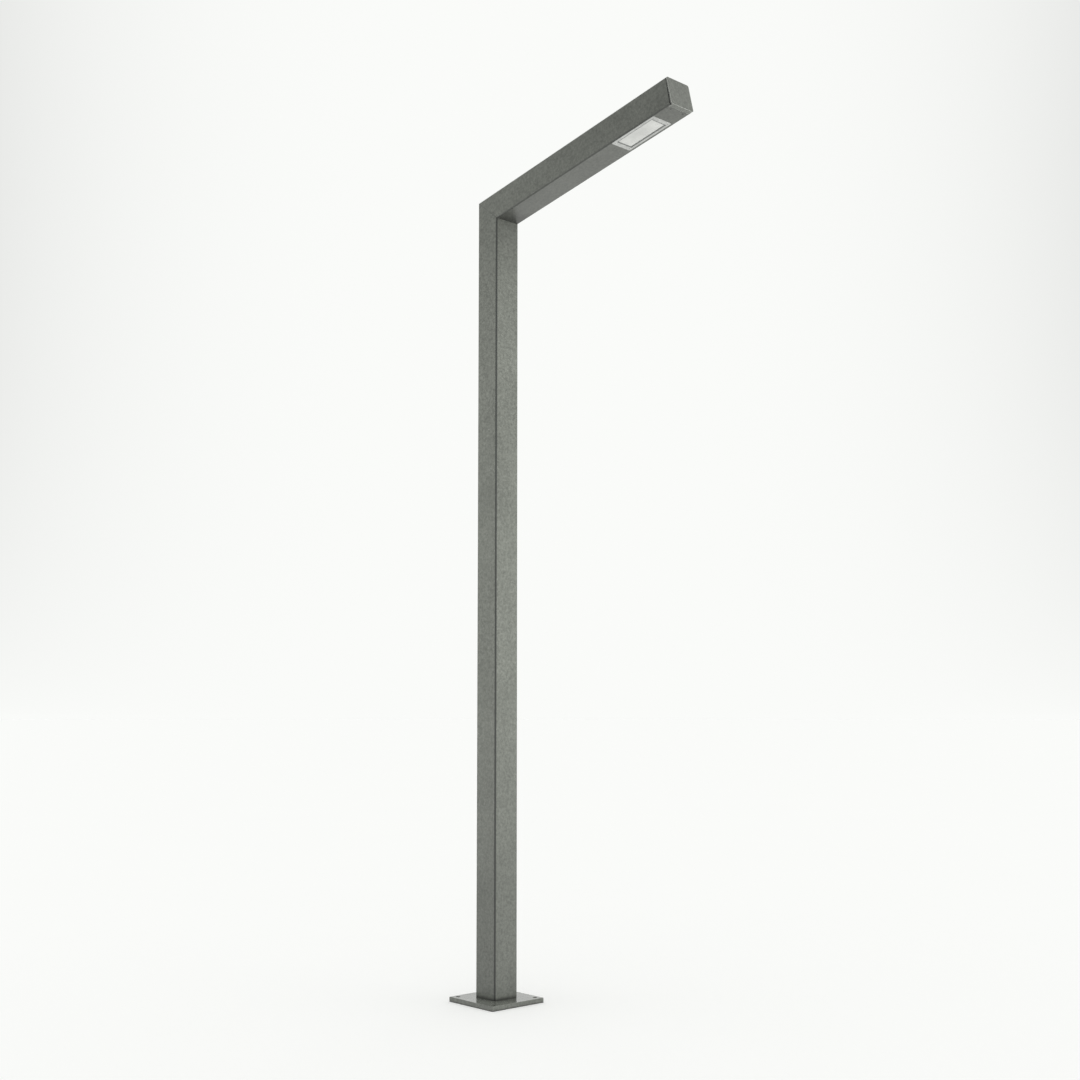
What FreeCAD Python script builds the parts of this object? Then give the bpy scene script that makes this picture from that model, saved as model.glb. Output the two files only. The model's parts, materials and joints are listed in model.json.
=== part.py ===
import FreeCAD, Part
import math
import os

# Street lamp post with a mitred box arm and an LED module in the arm's underside.
# Millimetres. Origin: centre of the base plate's underside. +Z up, +X the way the arm points.

V = FreeCAD.Vector
X_AXIS = V(1, 0, 0)
Y_AXIS = V(0, 1, 0)
Z_AXIS = V(0, 0, 1)

# ---- driving dimensions: the steel work ----
POST_SIDE = 120.0
POST_WALL = 5.0
CORNER_RADIUS = 7.5
PLATE_SIDE = 270.0
PLATE_THICKNESS = 20.0
PLATE_BEVEL = 1.0
ANCHOR_SPACING = 220.0
ANCHOR_HOLE_RADIUS = 9.0
CABLE_ENTRY_RADIUS = 40.0
FOOT_WELD = 5.0
ELBOW_HEIGHT = 3315.0
ARM_ANGLE = 9.5
ARM_DEPTH = 113.0
ARM_WALL = 2.5
ARM_TOP_LENGTH = 1095.0

# ---- driving dimensions: the arm's end ----
CAP_LEAN = 3.5
CAP_THICKNESS = 4.0
CAP_GAP_TOP = 1.5
CAP_GAP_BOTTOM = 6.0
CAP_LIP_LENGTH = 10.0
SEAM = 0.4
GASKET_INSET = 1.5
SPIGOT_INSET = 5.0
SPIGOT_WALL = 3.0
SPIGOT_LENGTH = 30.0
SPIGOT_LIFT = 0.3
SPIGOT_CORNER = 3.0
CAP_SCREW_RADIUS = 2.5
CAP_SCREW_HEAD = 4.5
CAP_SCREW_LENGTH = 12.0
SCREW_PLAY = 0.1

# ---- driving dimensions: the LED module ----
MODULE_SETBACK = 98.0
MODULE_LENGTH = 222.0
MODULE_WIDTH = 99.0
MODULE_OFFSET_Y = -5.5
MODULE_CORNER = 5.0
MODULE_PLAY = 0.5
WINDOW_LENGTH = 177.0
WINDOW_WIDTH = 69.0
WINDOW_CORNER = 2.0
GASKET_SIGHT = 5.0
FLANGE_OVERLAP = 4.5
APERTURE_CORNER = 3.0
BEZEL_PROUD = 1.2
LIP_THICKNESS = 1.6
GLASS_GASKET_THICKNESS = 0.8
GLASS_THICKNESS = 4.0
GLASS_SEAT_EDGE = 2.0
GLASS_PLAY = 0.2
BEZEL_DEPTH = 8.7
BEZEL_SCREW_S = 101.0
BEZEL_SCREW_Y = 37.5
BEZEL_SCREW_RADIUS = 2.0
BEZEL_SCREW_HEAD = 3.8
BEZEL_SCREW_LENGTH = 26.0
SINK_BASE_RISE = 22.0
SINK_BASE_THICKNESS = 5.0
SINK_OVERHANG = 6.0
LEG_THICKNESS = 2.0
FIN_HEIGHT = 28.0
FIN_THICKNESS = 2.5
FIN_COUNT = 9
LED_ROWS = 2
LED_COLUMNS = 7
LED_PITCH = 21.0
LED_ROW_SPACING = 27.3
LED_SHIFT = 6.0
LED_SIDE = 3.5
LED_HEIGHT = 0.8
LED_BOARD_LENGTH = 172.0
LED_BOARD_WIDTH = 64.0
LED_BOARD_THICKNESS = 1.6
LENS_LENGTH = 156.0
LENS_WIDTH = 62.0
LENS_THICKNESS = 3.0
LENS_DOME_RADIUS = 9.0
LENS_DOME_CENTRE = 4.0
LENS_RECESS_RADIUS = 3.2
LENS_RECESS_DEPTH = 1.2
PLUG_SIZE = (10.0, 12.0, 8.0)
PLUG_END_MARGIN = 7.0

# ---- driving dimensions: the service door ----
DOOR_WIDTH = 80.0
DOOR_HEIGHT = 340.0
DOOR_THICKNESS = 4.0
DOOR_CENTRE_Z = 650.0
DOOR_CORNER = 12.0
DOOR_GAP = 1.5
LEDGE = 6.0
FRAME_BORDER = 10.5
FRAME_THICKNESS = 4.0
DOOR_GASKET = 0.7
FRAME_CORNER = 8.0
BARREL_RADIUS = 4.5
BARREL_LENGTH = 25.0
BARREL_OFFSET = 5.0
PIN_RADIUS = 2.5
PIN_CLEARANCE = 0.05
PIN_SHORT = 2.0
HINGE_GAP = 0.15
HINGE_LEAF_FROM = 1.75
HINGE_LEAF_TO = 4.4
HINGE_LEAF_INSET = 2.0
HINGE_SPREAD = 110.0
LOCK_Y = -20.0
LOCK_RADIUS = 8.0
LOCK_RIM = 2.5
LOCK_PROUD = 2.0
LOCK_WELL_RADIUS = 6.0
LOCK_FLOOR_X = -54.0
LOCK_NUT_SIZE = 20.0
LOCK_NUT_HEIGHT = 3.5
SPINDLE_RADIUS = 4.0
SPINDLE_PLAY = 0.05
SPINDLE_COLLAR = 5.6
SPINDLE_COLLAR_TOP = 2.0
SPINDLE_GAP = 0.3
KEY_RADIUS = 4.6
KEY_RECESS = 1.0
CAM_THICKNESS = 2.0
CAM_RADIUS = 7.5
CAM_HALF_WIDTH = 6.0
CAM_REACH = 23.0
CAM_SQUARE = 5.0
CAM_GAP = 0.6
BARREL_GAP = 0.35
CAM_SCREW_RADIUS = 1.5
CAM_SCREW_HEAD = 4.2
CAM_SCREW_HEAD_HEIGHT = 3.0
CAM_SCREW_DEPTH = 6.0

# ---- driving dimensions: the electrical gear ----
BOARD_WIDTH = 76.0
BOARD_BOTTOM = 532.0
BOARD_TOP = 806.0
BOARD_FRONT_X = 37.0
BOARD_THICKNESS = 3.0
BOARD_CORNER = 4.0
BOARD_STUD_Y = 30.0
STUD_RADIUS = 3.0
STUD_PROUD = 8.0
SPACER_RADIUS = 6.0
BOARD_NUT_SIZE = 10.0
BOARD_NUT_HEIGHT = 5.0
RAIL_DEPTH = 7.5
RAIL_LENGTH = 66.0
RAIL_SHEET = 1.0
RAIL_WEB = 12.5
RAIL_LIP = 17.5
RIVET_Y = 28.0
RIVET_RADIUS = 2.0
RIVET_HEAD = 3.5
RIVET_HEAD_HEIGHT = 1.2
UPPER_RAIL_Z = 735.0
LOWER_RAIL_Z = 572.0
GEAR_FRONT_X = -6.0
MODULE_PITCH = 18.0
GEAR_HEIGHT = 80.0
FUSE_Y = 14.0
SURGE_Y = -14.0
CABLE_RADIUS = 4.5
CABLE_X = 5.0
CABLE_BEND = 110.0
CABLE_DEPTH = 88.0
DRIVER_START = 420.0
DRIVER_LENGTH = 220.0
DRIVER_WIDTH = 60.0
DRIVER_HEIGHT = 35.0
DRIVER_CORNER = 3.0
TAB = 14.0
TAB_HALF_WIDTH = 10.0
TAB_THICKNESS = 3.0
DRIVER_SCREW_RADIUS = 2.0
DRIVER_SCREW_HEAD = 3.6
DRIVER_SCREW_HEAD_HEIGHT = 2.6
TRAY_THICKNESS = 2.0
TRAY_START = 366.0
TRAY_END = 700.0
TRAY_HALF_WIDTH = 48.0
TRAY_STUD_S = (400.0, 690.0)
TRAY_STUD_Y = -20.0
TRAY_STUD_RADIUS = 2.5
TRAY_STUD_PROUD = 8.0
TRAY_NUT_SIZE = 8.0
TRAY_NUT_HEIGHT = 4.0
LEAD_RADIUS = 3.0
GLAND_LENGTH = 16.0
GLAND_RADIUS = 8.0
SMALL_GLAND_LENGTH = 12.0
SMALL_GLAND_RADIUS = 6.0
FEED_CLIP_S = 374.0
FEED_CLIP_LENGTH = 12.0
CLIP_HALF_WIDTH = 8.0
LEAD_CLIP_S = 664.0
LEAD_CLIP_LENGTH = 10.0
LEAD_CLIP_HALF_WIDTH = 6.0

# ---- sizes worked out from the driving ones ----
HALF_POST = POST_SIDE / 2
INNER_WALL = HALF_POST - POST_WALL
HALF_PLATE = PLATE_SIDE / 2
ANGLE = math.radians(ARM_ANGLE)
LEAN = math.tan(math.radians(CAP_LEAN))
TIP_BOTTOM = ARM_TOP_LENGTH + ARM_DEPTH * LEAN
MITRE_INNER_Z = ELBOW_HEIGHT + POST_SIDE * math.tan(ANGLE) - ARM_DEPTH / math.cos(ANGLE)
MITRE_SLOPE = (MITRE_INNER_Z - ELBOW_HEIGHT) / POST_SIDE
MODULE_S = TIP_BOTTOM - MODULE_SETBACK - MODULE_LENGTH / 2
REACH = 400.0
OVERRUN = 50.0


# ---- helpers ----
def box(x0, x1, y0, y1, z0, z1):
    return Part.makeBox(x1 - x0, y1 - y0, z1 - z0, V(x0, y0, z0))


def block(centre, size):
    """A box about its centre."""
    cx, cy, cz = centre
    sx, sy, sz = size
    return box(cx - sx / 2, cx + sx / 2, cy - sy / 2, cy + sy / 2, cz - sz / 2, cz + sz / 2)


def rod(radius, start, end):
    """A cylinder between two points."""
    span = V(*end) - V(*start)
    return Part.makeCylinder(radius, span.Length, V(*start), span)


def hexagon(across_flats, start, end, turn=0.0):
    """A hexagonal bar between two points on a line along X or Z."""
    span = V(*end) - V(*start)
    radius = across_flats / math.sqrt(3)
    points = []
    for corner in range(7):
        angle = math.radians(60 * corner + turn)
        points.append(V(radius * math.cos(angle), radius * math.sin(angle), 0))
    bar = Part.Face(Part.makePolygon(points)).extrude(V(0, 0, span.Length))
    bar.Placement = FreeCAD.Placement(V(*start), FreeCAD.Rotation(Z_AXIS, span))
    return bar


def along(edge, axis):
    straight = isinstance(edge.Curve, Part.Line) or isinstance(edge.Curve, Part.LineSegment)
    return straight and edge.tangentAt(edge.FirstParameter).cross(axis).Length < 1e-6


def round_edges(shape, radius, axis):
    """Fillet the straight edges that run along an axis."""
    return shape.makeFillet(radius, [edge for edge in shape.Edges if along(edge, axis)])


def xz_prism(points, half_width):
    """An outline in the XZ plane, extruded both ways along Y."""
    corners = [V(x, -half_width, z) for x, z in points]
    outline = Part.makePolygon(corners + corners[:1])
    return Part.Face(outline).extrude(V(0, 2 * half_width, 0))


def on_arm(shape):
    """Carry a shape from the arm's frame (X along the arm, Z square to its top, origin at the elbow's
    outer corner) to the object's frame."""
    placed = shape.copy()
    placed.rotate(V(0, 0, 0), Y_AXIS, -ARM_ANGLE)
    placed.translate(V(-HALF_POST, 0, ELBOW_HEIGHT))
    return placed


def save(name, *shapes):
    """Write one node: one solid, or a group of separate ones."""
    solids = []
    for shape in shapes:
        solids.extend(shape.removeSplitter().Solids)
    node = solids[0] if len(solids) == 1 else Part.makeCompound(solids)
    assert node.isValid(), name
    node.exportStep("parts/" + name + ".step")
    volume = sum(solid.Volume for solid in solids)
    print(f"{name:24s} solids {len(solids):3d}  volume {volume / 1000:10.2f} cm3")
    return node


# ---- the steel work ----
def mitre_side(above):
    """Everything above, or below, the mitre plane between post and arm."""
    far = 2000.0
    left_z = ELBOW_HEIGHT - MITRE_SLOPE * (far - HALF_POST)
    right_z = ELBOW_HEIGHT + MITRE_SLOPE * (far + HALF_POST)
    level = ELBOW_HEIGHT + 2 * far if above else -far
    return xz_prism([(-far, left_z), (far, right_z), (far, level), (-far, level)], far)


def make_base_plate():
    plate = box(-HALF_PLATE, HALF_PLATE, -HALF_PLATE, HALF_PLATE, 0, PLATE_THICKNESS)
    top = [edge for edge in plate.Edges if edge.BoundBox.ZMin > PLATE_THICKNESS - 0.1]
    plate = plate.makeChamfer(PLATE_BEVEL, top)
    for sx in (-1, 1):
        for sy in (-1, 1):
            spot = (sx * ANCHOR_SPACING / 2, sy * ANCHOR_SPACING / 2)
            plate = plate.cut(rod(ANCHOR_HOLE_RADIUS, (*spot, -1), (*spot, PLATE_THICKNESS + 1)))
    entry = rod(CABLE_ENTRY_RADIUS, (0, 0, -1), (0, 0, PLATE_THICKNESS + 1))
    save("base_plate", plate.cut(entry))


def square_bar(half_side, radius, z0, z1):
    return round_edges(box(-half_side, half_side, -half_side, half_side, z0, z1), radius, Z_AXIS)


def square_outline(half_side, level):
    corners = [V(x, y, level) for x, y in ((-1, -1), (1, -1), (1, 1), (-1, 1), (-1, -1))]
    return Part.makePolygon([V(corner.x * half_side, corner.y * half_side, level) for corner in corners])


def door_block(width, height, corner, x0, x1):
    """A block with the door's rounded outline, in the post's rear face."""
    half = width / 2
    shape = box(x0, x1, -half, half, DOOR_CENTRE_Z - height / 2, DOOR_CENTRE_Z + height / 2)
    return round_edges(shape, corner, X_AXIS)


def make_post():
    top = ELBOW_HEIGHT + POST_SIDE
    outer = square_bar(HALF_POST, CORNER_RADIUS, PLATE_THICKNESS, top)
    inner = square_bar(INNER_WALL, CORNER_RADIUS - POST_WALL, 0, top + 1)
    tube = outer.cut(inner).common(mitre_side(above=False))
    width = DOOR_WIDTH + 2 * DOOR_GAP
    height = DOOR_HEIGHT + 2 * DOOR_GAP
    opening = door_block(width, height, DOOR_CORNER + DOOR_GAP, -HALF_POST - 1, -INNER_WALL + 1)
    save("post_tube", tube.cut(opening))
    weld_outer = square_bar(INNER_WALL, CORNER_RADIUS - POST_WALL, PLATE_THICKNESS, PLATE_THICKNESS + FOOT_WELD)
    lower = square_outline(INNER_WALL - FOOT_WELD, PLATE_THICKNESS)
    upper = square_outline(INNER_WALL, PLATE_THICKNESS + FOOT_WELD)
    throat = Part.makeLoft([lower, upper], True, True)
    save("foot_weld", weld_outer.cut(throat))


def arm_bar(inset, radius, start, end, bottom_inset=None):
    """A bar along the arm, inset from the arm's outer faces."""
    lift = inset if bottom_inset is None else bottom_inset
    half = HALF_POST - inset
    return round_edges(box(start, end, -half, half, lift - ARM_DEPTH, -inset), radius, X_AXIS)


def end_slab(top_start, bottom_start, top_end, bottom_end):
    """The stretch of the arm between two planes that lean along its depth."""
    margin = 10.0
    lean_start = (bottom_start - top_start) / ARM_DEPTH * margin
    lean_end = (bottom_end - top_end) / ARM_DEPTH * margin
    points = [
        (top_start - lean_start, margin),
        (top_end - lean_end, margin),
        (bottom_end + lean_end, -ARM_DEPTH - margin),
        (bottom_start + lean_start, -ARM_DEPTH - margin),
    ]
    return xz_prism(points, POST_SIDE)


CAP_INNER_TOP = ARM_TOP_LENGTH - CAP_THICKNESS
CAP_INNER_BOTTOM = TIP_BOTTOM - CAP_THICKNESS
TUBE_END_TOP = CAP_INNER_TOP - CAP_GAP_TOP
TUBE_END_BOTTOM = CAP_INNER_BOTTOM - CAP_GAP_BOTTOM
LIP_START = CAP_INNER_BOTTOM - CAP_GAP_BOTTOM - CAP_LIP_LENGTH
LIP_HALF = HALF_POST - CORNER_RADIUS
SCREW_S = LIP_START - 10.0
LIP_CUT_TOP = 15.0 - ARM_DEPTH
CAP_SCREW_Y = (-32.0, 32.0)


def countersunk(spot_s, spot_y, outside, length, shank, head, spare=0.0):
    """A countersunk screw pointing up from the arm's underside; outside is its head's level."""
    sink = head - shank
    cone = Part.makeCone(head + spare, shank + spare, sink, V(spot_s, spot_y, outside), Z_AXIS)
    stem = rod(shank + spare, (spot_s, spot_y, outside), (spot_s, spot_y, outside + length))
    return cone.fuse(stem)


def make_arm():
    tube = arm_bar(0, CORNER_RADIUS, -REACH, TIP_BOTTOM + OVERRUN)
    tube = tube.cut(arm_bar(ARM_WALL, CORNER_RADIUS - ARM_WALL, -REACH - 1, TIP_BOTTOM + OVERRUN + 1))
    tube = tube.common(end_slab(-REACH, -REACH, TUBE_END_TOP, TUBE_END_BOTTOM))
    tube = tube.cut(
        box(LIP_START - SEAM, TIP_BOTTOM, -LIP_HALF - SEAM, LIP_HALF + SEAM, -ARM_DEPTH - 1, LIP_CUT_TOP)
    )
    half_l = MODULE_LENGTH / 2 - FLANGE_OVERLAP
    half_w = MODULE_WIDTH / 2 - FLANGE_OVERLAP
    aperture = box(
        MODULE_S - half_l, MODULE_S + half_l, MODULE_OFFSET_Y - half_w, MODULE_OFFSET_Y + half_w,
        -ARM_DEPTH - 1, -ARM_DEPTH + ARM_WALL + 1,
    )
    tube = tube.cut(round_edges(aperture, APERTURE_CORNER, Z_AXIS))
    for spot in CAP_SCREW_Y:
        tube = tube.cut(
            countersunk(
                SCREW_S, spot, -ARM_DEPTH, CAP_SCREW_LENGTH, CAP_SCREW_RADIUS, CAP_SCREW_HEAD, SCREW_PLAY
            )
        )
    save("arm_tube", on_arm(tube).common(mitre_side(above=True)))


def make_end_cap():
    body = arm_bar(0, CORNER_RADIUS, 0, TIP_BOTTOM + OVERRUN)
    plate = body.common(end_slab(CAP_INNER_TOP, CAP_INNER_BOTTOM, ARM_TOP_LENGTH, TIP_BOTTOM))
    lip = box(LIP_START, TIP_BOTTOM - CAP_THICKNESS / 2, -LIP_HALF, LIP_HALF, -ARM_DEPTH, ARM_WALL - ARM_DEPTH)
    save("end_cap", on_arm(plate.fuse(lip)))
    filler = arm_bar(GASKET_INSET, CORNER_RADIUS - GASKET_INSET, 0, TIP_BOTTOM + OVERRUN)
    filler = filler.common(end_slab(TUBE_END_TOP, TUBE_END_BOTTOM, CAP_INNER_TOP, CAP_INNER_BOTTOM))
    filler = filler.cut(box(0, TIP_BOTTOM, -LIP_HALF - SEAM, LIP_HALF + SEAM, -ARM_DEPTH, ARM_WALL - ARM_DEPTH))
    spigot_low = ARM_WALL + SPIGOT_LIFT
    spigot_start = CAP_INNER_TOP - SPIGOT_LENGTH
    spigot_end = TIP_BOTTOM + OVERRUN
    spigot = arm_bar(SPIGOT_INSET, SPIGOT_CORNER, spigot_start, spigot_end, spigot_low)
    save("end_cap_gasket", on_arm(filler.cut(spigot)))
    hollow_inset = SPIGOT_INSET + SPIGOT_WALL
    hollow = arm_bar(hollow_inset, SPIGOT_CORNER / 3, 0, spigot_end + 1, spigot_low + SPIGOT_WALL)
    spigot = spigot.cut(hollow).common(end_slab(0, 0, CAP_INNER_TOP, CAP_INNER_BOTTOM))
    screws = []
    for spot in CAP_SCREW_Y:
        start = (SCREW_S, spot, -ARM_DEPTH)
        end = (SCREW_S, spot, CAP_SCREW_LENGTH - ARM_DEPTH)
        screws.append(on_arm(countersunk(*start, CAP_SCREW_LENGTH, CAP_SCREW_RADIUS, CAP_SCREW_HEAD)))
        spigot = spigot.cut(rod(CAP_SCREW_RADIUS, start, end))
    save("end_cap_spigot", on_arm(spigot))
    save("end_cap_screws", *screws)


# ---- the LED module, in the arm's frame ----
BEZEL_FACE = -ARM_DEPTH - BEZEL_PROUD
LIP_TOP = BEZEL_FACE + LIP_THICKNESS
GASKET_TOP = LIP_TOP + GLASS_GASKET_THICKNESS
GLASS_TOP = GASKET_TOP + GLASS_THICKNESS
BEZEL_TOP = BEZEL_FACE + BEZEL_DEPTH
SINK_BASE_LOW = SINK_BASE_RISE - ARM_DEPTH
SINK_BASE_HIGH = SINK_BASE_LOW + SINK_BASE_THICKNESS
SINK_TOP = SINK_BASE_HIGH + FIN_HEIGHT
BOARD_LOW = SINK_BASE_LOW - LED_BOARD_THICKNESS
LENS_LOW = BOARD_LOW - LENS_THICKNESS


def module_block(length, width, corner, z0, z1):
    """A block with rounded corners, centred on the module."""
    x0, x1 = MODULE_S - length / 2, MODULE_S + length / 2
    y0, y1 = MODULE_OFFSET_Y - width / 2, MODULE_OFFSET_Y + width / 2
    return round_edges(box(x0, x1, y0, y1, z0, z1), corner, Z_AXIS)


def bezel_screw_spots():
    return [
        (MODULE_S + end * BEZEL_SCREW_S, MODULE_OFFSET_Y + side * BEZEL_SCREW_Y)
        for end in (-1, 1) for side in (-1, 1)
    ]


def make_module_housing():
    sight_l, sight_w = WINDOW_LENGTH + 2 * GASKET_SIGHT, WINDOW_WIDTH + 2 * GASKET_SIGHT
    seat_l, seat_w = sight_l + 2 * GLASS_SEAT_EDGE, sight_w + 2 * GLASS_SEAT_EDGE
    glass_l, glass_w = seat_l - 2 * GLASS_PLAY, seat_w - 2 * GLASS_PLAY
    body_l = MODULE_LENGTH - 2 * FLANGE_OVERLAP - 2 * MODULE_PLAY
    body_w = MODULE_WIDTH - 2 * FLANGE_OVERLAP - 2 * MODULE_PLAY
    bezel = module_block(MODULE_LENGTH, MODULE_WIDTH, MODULE_CORNER, BEZEL_FACE, -ARM_DEPTH)
    bezel = bezel.fuse(module_block(body_l, body_w, APERTURE_CORNER - MODULE_PLAY, BEZEL_FACE, BEZEL_TOP))
    bezel = bezel.cut(module_block(sight_l, sight_w, WINDOW_CORNER, BEZEL_FACE - 1, LIP_TOP + 1))
    bezel = bezel.cut(module_block(seat_l, seat_w, WINDOW_CORNER, LIP_TOP, BEZEL_TOP + 1))
    screw_size = (BEZEL_SCREW_LENGTH, BEZEL_SCREW_RADIUS, BEZEL_SCREW_HEAD)
    screws = []
    for spot in bezel_screw_spots():
        bezel = bezel.cut(countersunk(*spot, BEZEL_FACE, *screw_size, SCREW_PLAY))
        screws.append(on_arm(countersunk(*spot, BEZEL_FACE, *screw_size)))
    save("module_bezel", on_arm(bezel))
    save("bezel_screws", *screws)
    seal = module_block(glass_l, glass_w, WINDOW_CORNER, LIP_TOP, GASKET_TOP)
    seal = seal.cut(module_block(WINDOW_LENGTH, WINDOW_WIDTH, WINDOW_CORNER + 1, LIP_TOP - 1, GASKET_TOP + 1))
    save("glass_gasket", on_arm(seal))
    save("module_glass", on_arm(module_block(glass_l, glass_w, WINDOW_CORNER, GASKET_TOP, GLASS_TOP)))


def make_heat_sink():
    """A finned plate on two legs that stand on the arm's floor beside the module's opening."""
    half_l = MODULE_LENGTH / 2 + SINK_OVERHANG
    half_w = MODULE_WIDTH / 2 - FLANGE_OVERLAP + LEG_THICKNESS
    x0, x1 = MODULE_S - half_l, MODULE_S + half_l
    left, right = MODULE_OFFSET_Y - half_w, MODULE_OFFSET_Y + half_w
    sink = box(x0, x1, left, right, SINK_BASE_LOW, SINK_BASE_HIGH)
    for y0 in (left, right - LEG_THICKNESS):
        sink = sink.fuse(box(x0, x1, y0, y0 + LEG_THICKNESS, ARM_WALL - ARM_DEPTH, SINK_BASE_LOW))
    pitch = (2 * half_w - FIN_THICKNESS) / (FIN_COUNT - 1)
    for index in range(FIN_COUNT):
        start = left + index * pitch
        sink = sink.fuse(box(x0, x1, start, start + FIN_THICKNESS, SINK_BASE_HIGH, SINK_TOP))
    for spot in bezel_screw_spots():
        sink = sink.cut(rod(BEZEL_SCREW_RADIUS, (*spot, SINK_BASE_LOW - 1), (*spot, SINK_BASE_HIGH)))
    save("heat_sink", on_arm(sink))


def led_spots():
    spots = []
    for row in range(LED_ROWS):
        for column in range(LED_COLUMNS):
            spot_s = MODULE_S + LED_SHIFT + (column - (LED_COLUMNS - 1) / 2) * LED_PITCH
            spot_y = MODULE_OFFSET_Y + (row - (LED_ROWS - 1) / 2) * LED_ROW_SPACING
            spots.append((spot_s, spot_y))
    return spots


def make_light_engine():
    board_size = (LED_BOARD_LENGTH, LED_BOARD_WIDTH, LED_BOARD_THICKNESS)
    board = block((MODULE_S, MODULE_OFFSET_Y, (SINK_BASE_LOW + BOARD_LOW) / 2), board_size)
    save("led_board", on_arm(board))
    lens_size = (LENS_LENGTH, LENS_WIDTH, LENS_THICKNESS)
    lens = block((MODULE_S + LED_SHIFT, MODULE_OFFSET_Y, (BOARD_LOW + LENS_LOW) / 2), lens_size)
    dome_box = 2 * LENS_DOME_RADIUS
    chips = []
    for spot in led_spots():
        chips.append(on_arm(block((*spot, BOARD_LOW - LED_HEIGHT / 2), (LED_SIDE, LED_SIDE, LED_HEIGHT))))
        lens = lens.cut(rod(LENS_RECESS_RADIUS, (*spot, BOARD_LOW), (*spot, BOARD_LOW - LENS_RECESS_DEPTH)))
        dome = Part.makeSphere(LENS_DOME_RADIUS, V(*spot, LENS_LOW + LENS_DOME_CENTRE))
        below = block((*spot, LENS_LOW - dome_box / 2), (dome_box, dome_box, dome_box))
        lens = lens.fuse(dome.common(below))
    save("led_chips", *chips)
    save("lens_array", on_arm(lens))
    plug_s = MODULE_S - LED_BOARD_LENGTH / 2 + PLUG_END_MARGIN
    save("board_connector", on_arm(block((plug_s, MODULE_OFFSET_Y, BOARD_LOW - PLUG_SIZE[2] / 2), PLUG_SIZE)))


# ---- the driver and its tray, in the arm's frame ----
TRAY_LOW = ARM_WALL - ARM_DEPTH
TRAY_HIGH = TRAY_LOW + TRAY_THICKNESS
DRIVER_END = DRIVER_START + DRIVER_LENGTH
LEAD_Z = BOARD_LOW - PLUG_SIZE[2] / 2
LEAD_END = MODULE_S - LED_BOARD_LENGTH / 2 + PLUG_END_MARGIN - PLUG_SIZE[0] / 2


def make_driver():
    tray = box(TRAY_START, TRAY_END, -TRAY_HALF_WIDTH, TRAY_HALF_WIDTH, TRAY_LOW, TRAY_HIGH)
    half = DRIVER_WIDTH / 2
    housing = box(DRIVER_START, DRIVER_END, -half, half, TRAY_HIGH, TRAY_HIGH + DRIVER_HEIGHT)
    housing = round_edges(housing, DRIVER_CORNER, X_AXIS)
    tab_top = TRAY_HIGH + TAB_THICKNESS
    screws = []
    for start, end in ((DRIVER_START - TAB, DRIVER_START + 1), (DRIVER_END - 1, DRIVER_END + TAB)):
        housing = housing.fuse(box(start, end, -TAB_HALF_WIDTH, TAB_HALF_WIDTH, TRAY_HIGH, tab_top))
    for centre in (DRIVER_START - TAB / 2, DRIVER_END + TAB / 2):
        hole = rod(DRIVER_SCREW_RADIUS, (centre, 0, TRAY_LOW), (centre, 0, tab_top))
        housing = housing.cut(hole)
        tray = tray.cut(hole)
        head = rod(DRIVER_SCREW_HEAD, (centre, 0, tab_top), (centre, 0, tab_top + DRIVER_SCREW_HEAD_HEIGHT))
        screws.append(on_arm(hole.fuse(head)))
    save("driver_housing", on_arm(housing))
    save("driver_screws", *screws)
    studs, nuts = [], []
    for spot in TRAY_STUD_S:
        foot = (spot, TRAY_STUD_Y, TRAY_LOW)
        seat = (spot, TRAY_STUD_Y, TRAY_HIGH)
        stud = rod(TRAY_STUD_RADIUS, foot, (spot, TRAY_STUD_Y, TRAY_HIGH + TRAY_STUD_PROUD))
        tray = tray.cut(stud)
        nut = hexagon(TRAY_NUT_SIZE, seat, (spot, TRAY_STUD_Y, TRAY_HIGH + TRAY_NUT_HEIGHT))
        studs.append(on_arm(stud))
        nuts.append(on_arm(nut.cut(stud)))
    save("gear_tray", on_arm(tray))
    save("tray_studs", *studs)
    save("tray_nuts", *nuts)
    feed_line = (FUSE_Y, -CABLE_DEPTH)
    lead_line = (MODULE_OFFSET_Y, LEAD_Z)
    feed = rod(CABLE_RADIUS, (0, *feed_line), (DRIVER_START, *feed_line))
    lead = rod(LEAD_RADIUS, (DRIVER_END, *lead_line), (LEAD_END, *lead_line))
    gland_in = rod(GLAND_RADIUS, (DRIVER_START - GLAND_LENGTH, *feed_line), (DRIVER_START, *feed_line))
    gland_out = rod(SMALL_GLAND_RADIUS, (DRIVER_END, *lead_line), (DRIVER_END + SMALL_GLAND_LENGTH, *lead_line))
    save("driver_glands", on_arm(gland_in.cut(feed)), on_arm(gland_out.cut(lead)))
    save("led_lead", on_arm(lead))
    feed_clip = box(
        FEED_CLIP_S, FEED_CLIP_S + FEED_CLIP_LENGTH, FUSE_Y - CLIP_HALF_WIDTH, FUSE_Y + CLIP_HALF_WIDTH,
        TRAY_HIGH, CLIP_HALF_WIDTH - CABLE_DEPTH,
    )
    lead_clip = box(
        LEAD_CLIP_S, LEAD_CLIP_S + LEAD_CLIP_LENGTH, MODULE_OFFSET_Y - LEAD_CLIP_HALF_WIDTH,
        MODULE_OFFSET_Y + LEAD_CLIP_HALF_WIDTH, TRAY_HIGH, LEAD_Z + LEAD_CLIP_HALF_WIDTH,
    )
    save("tray_clips", on_arm(feed_clip.cut(feed)), on_arm(lead_clip.cut(lead)))


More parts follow.
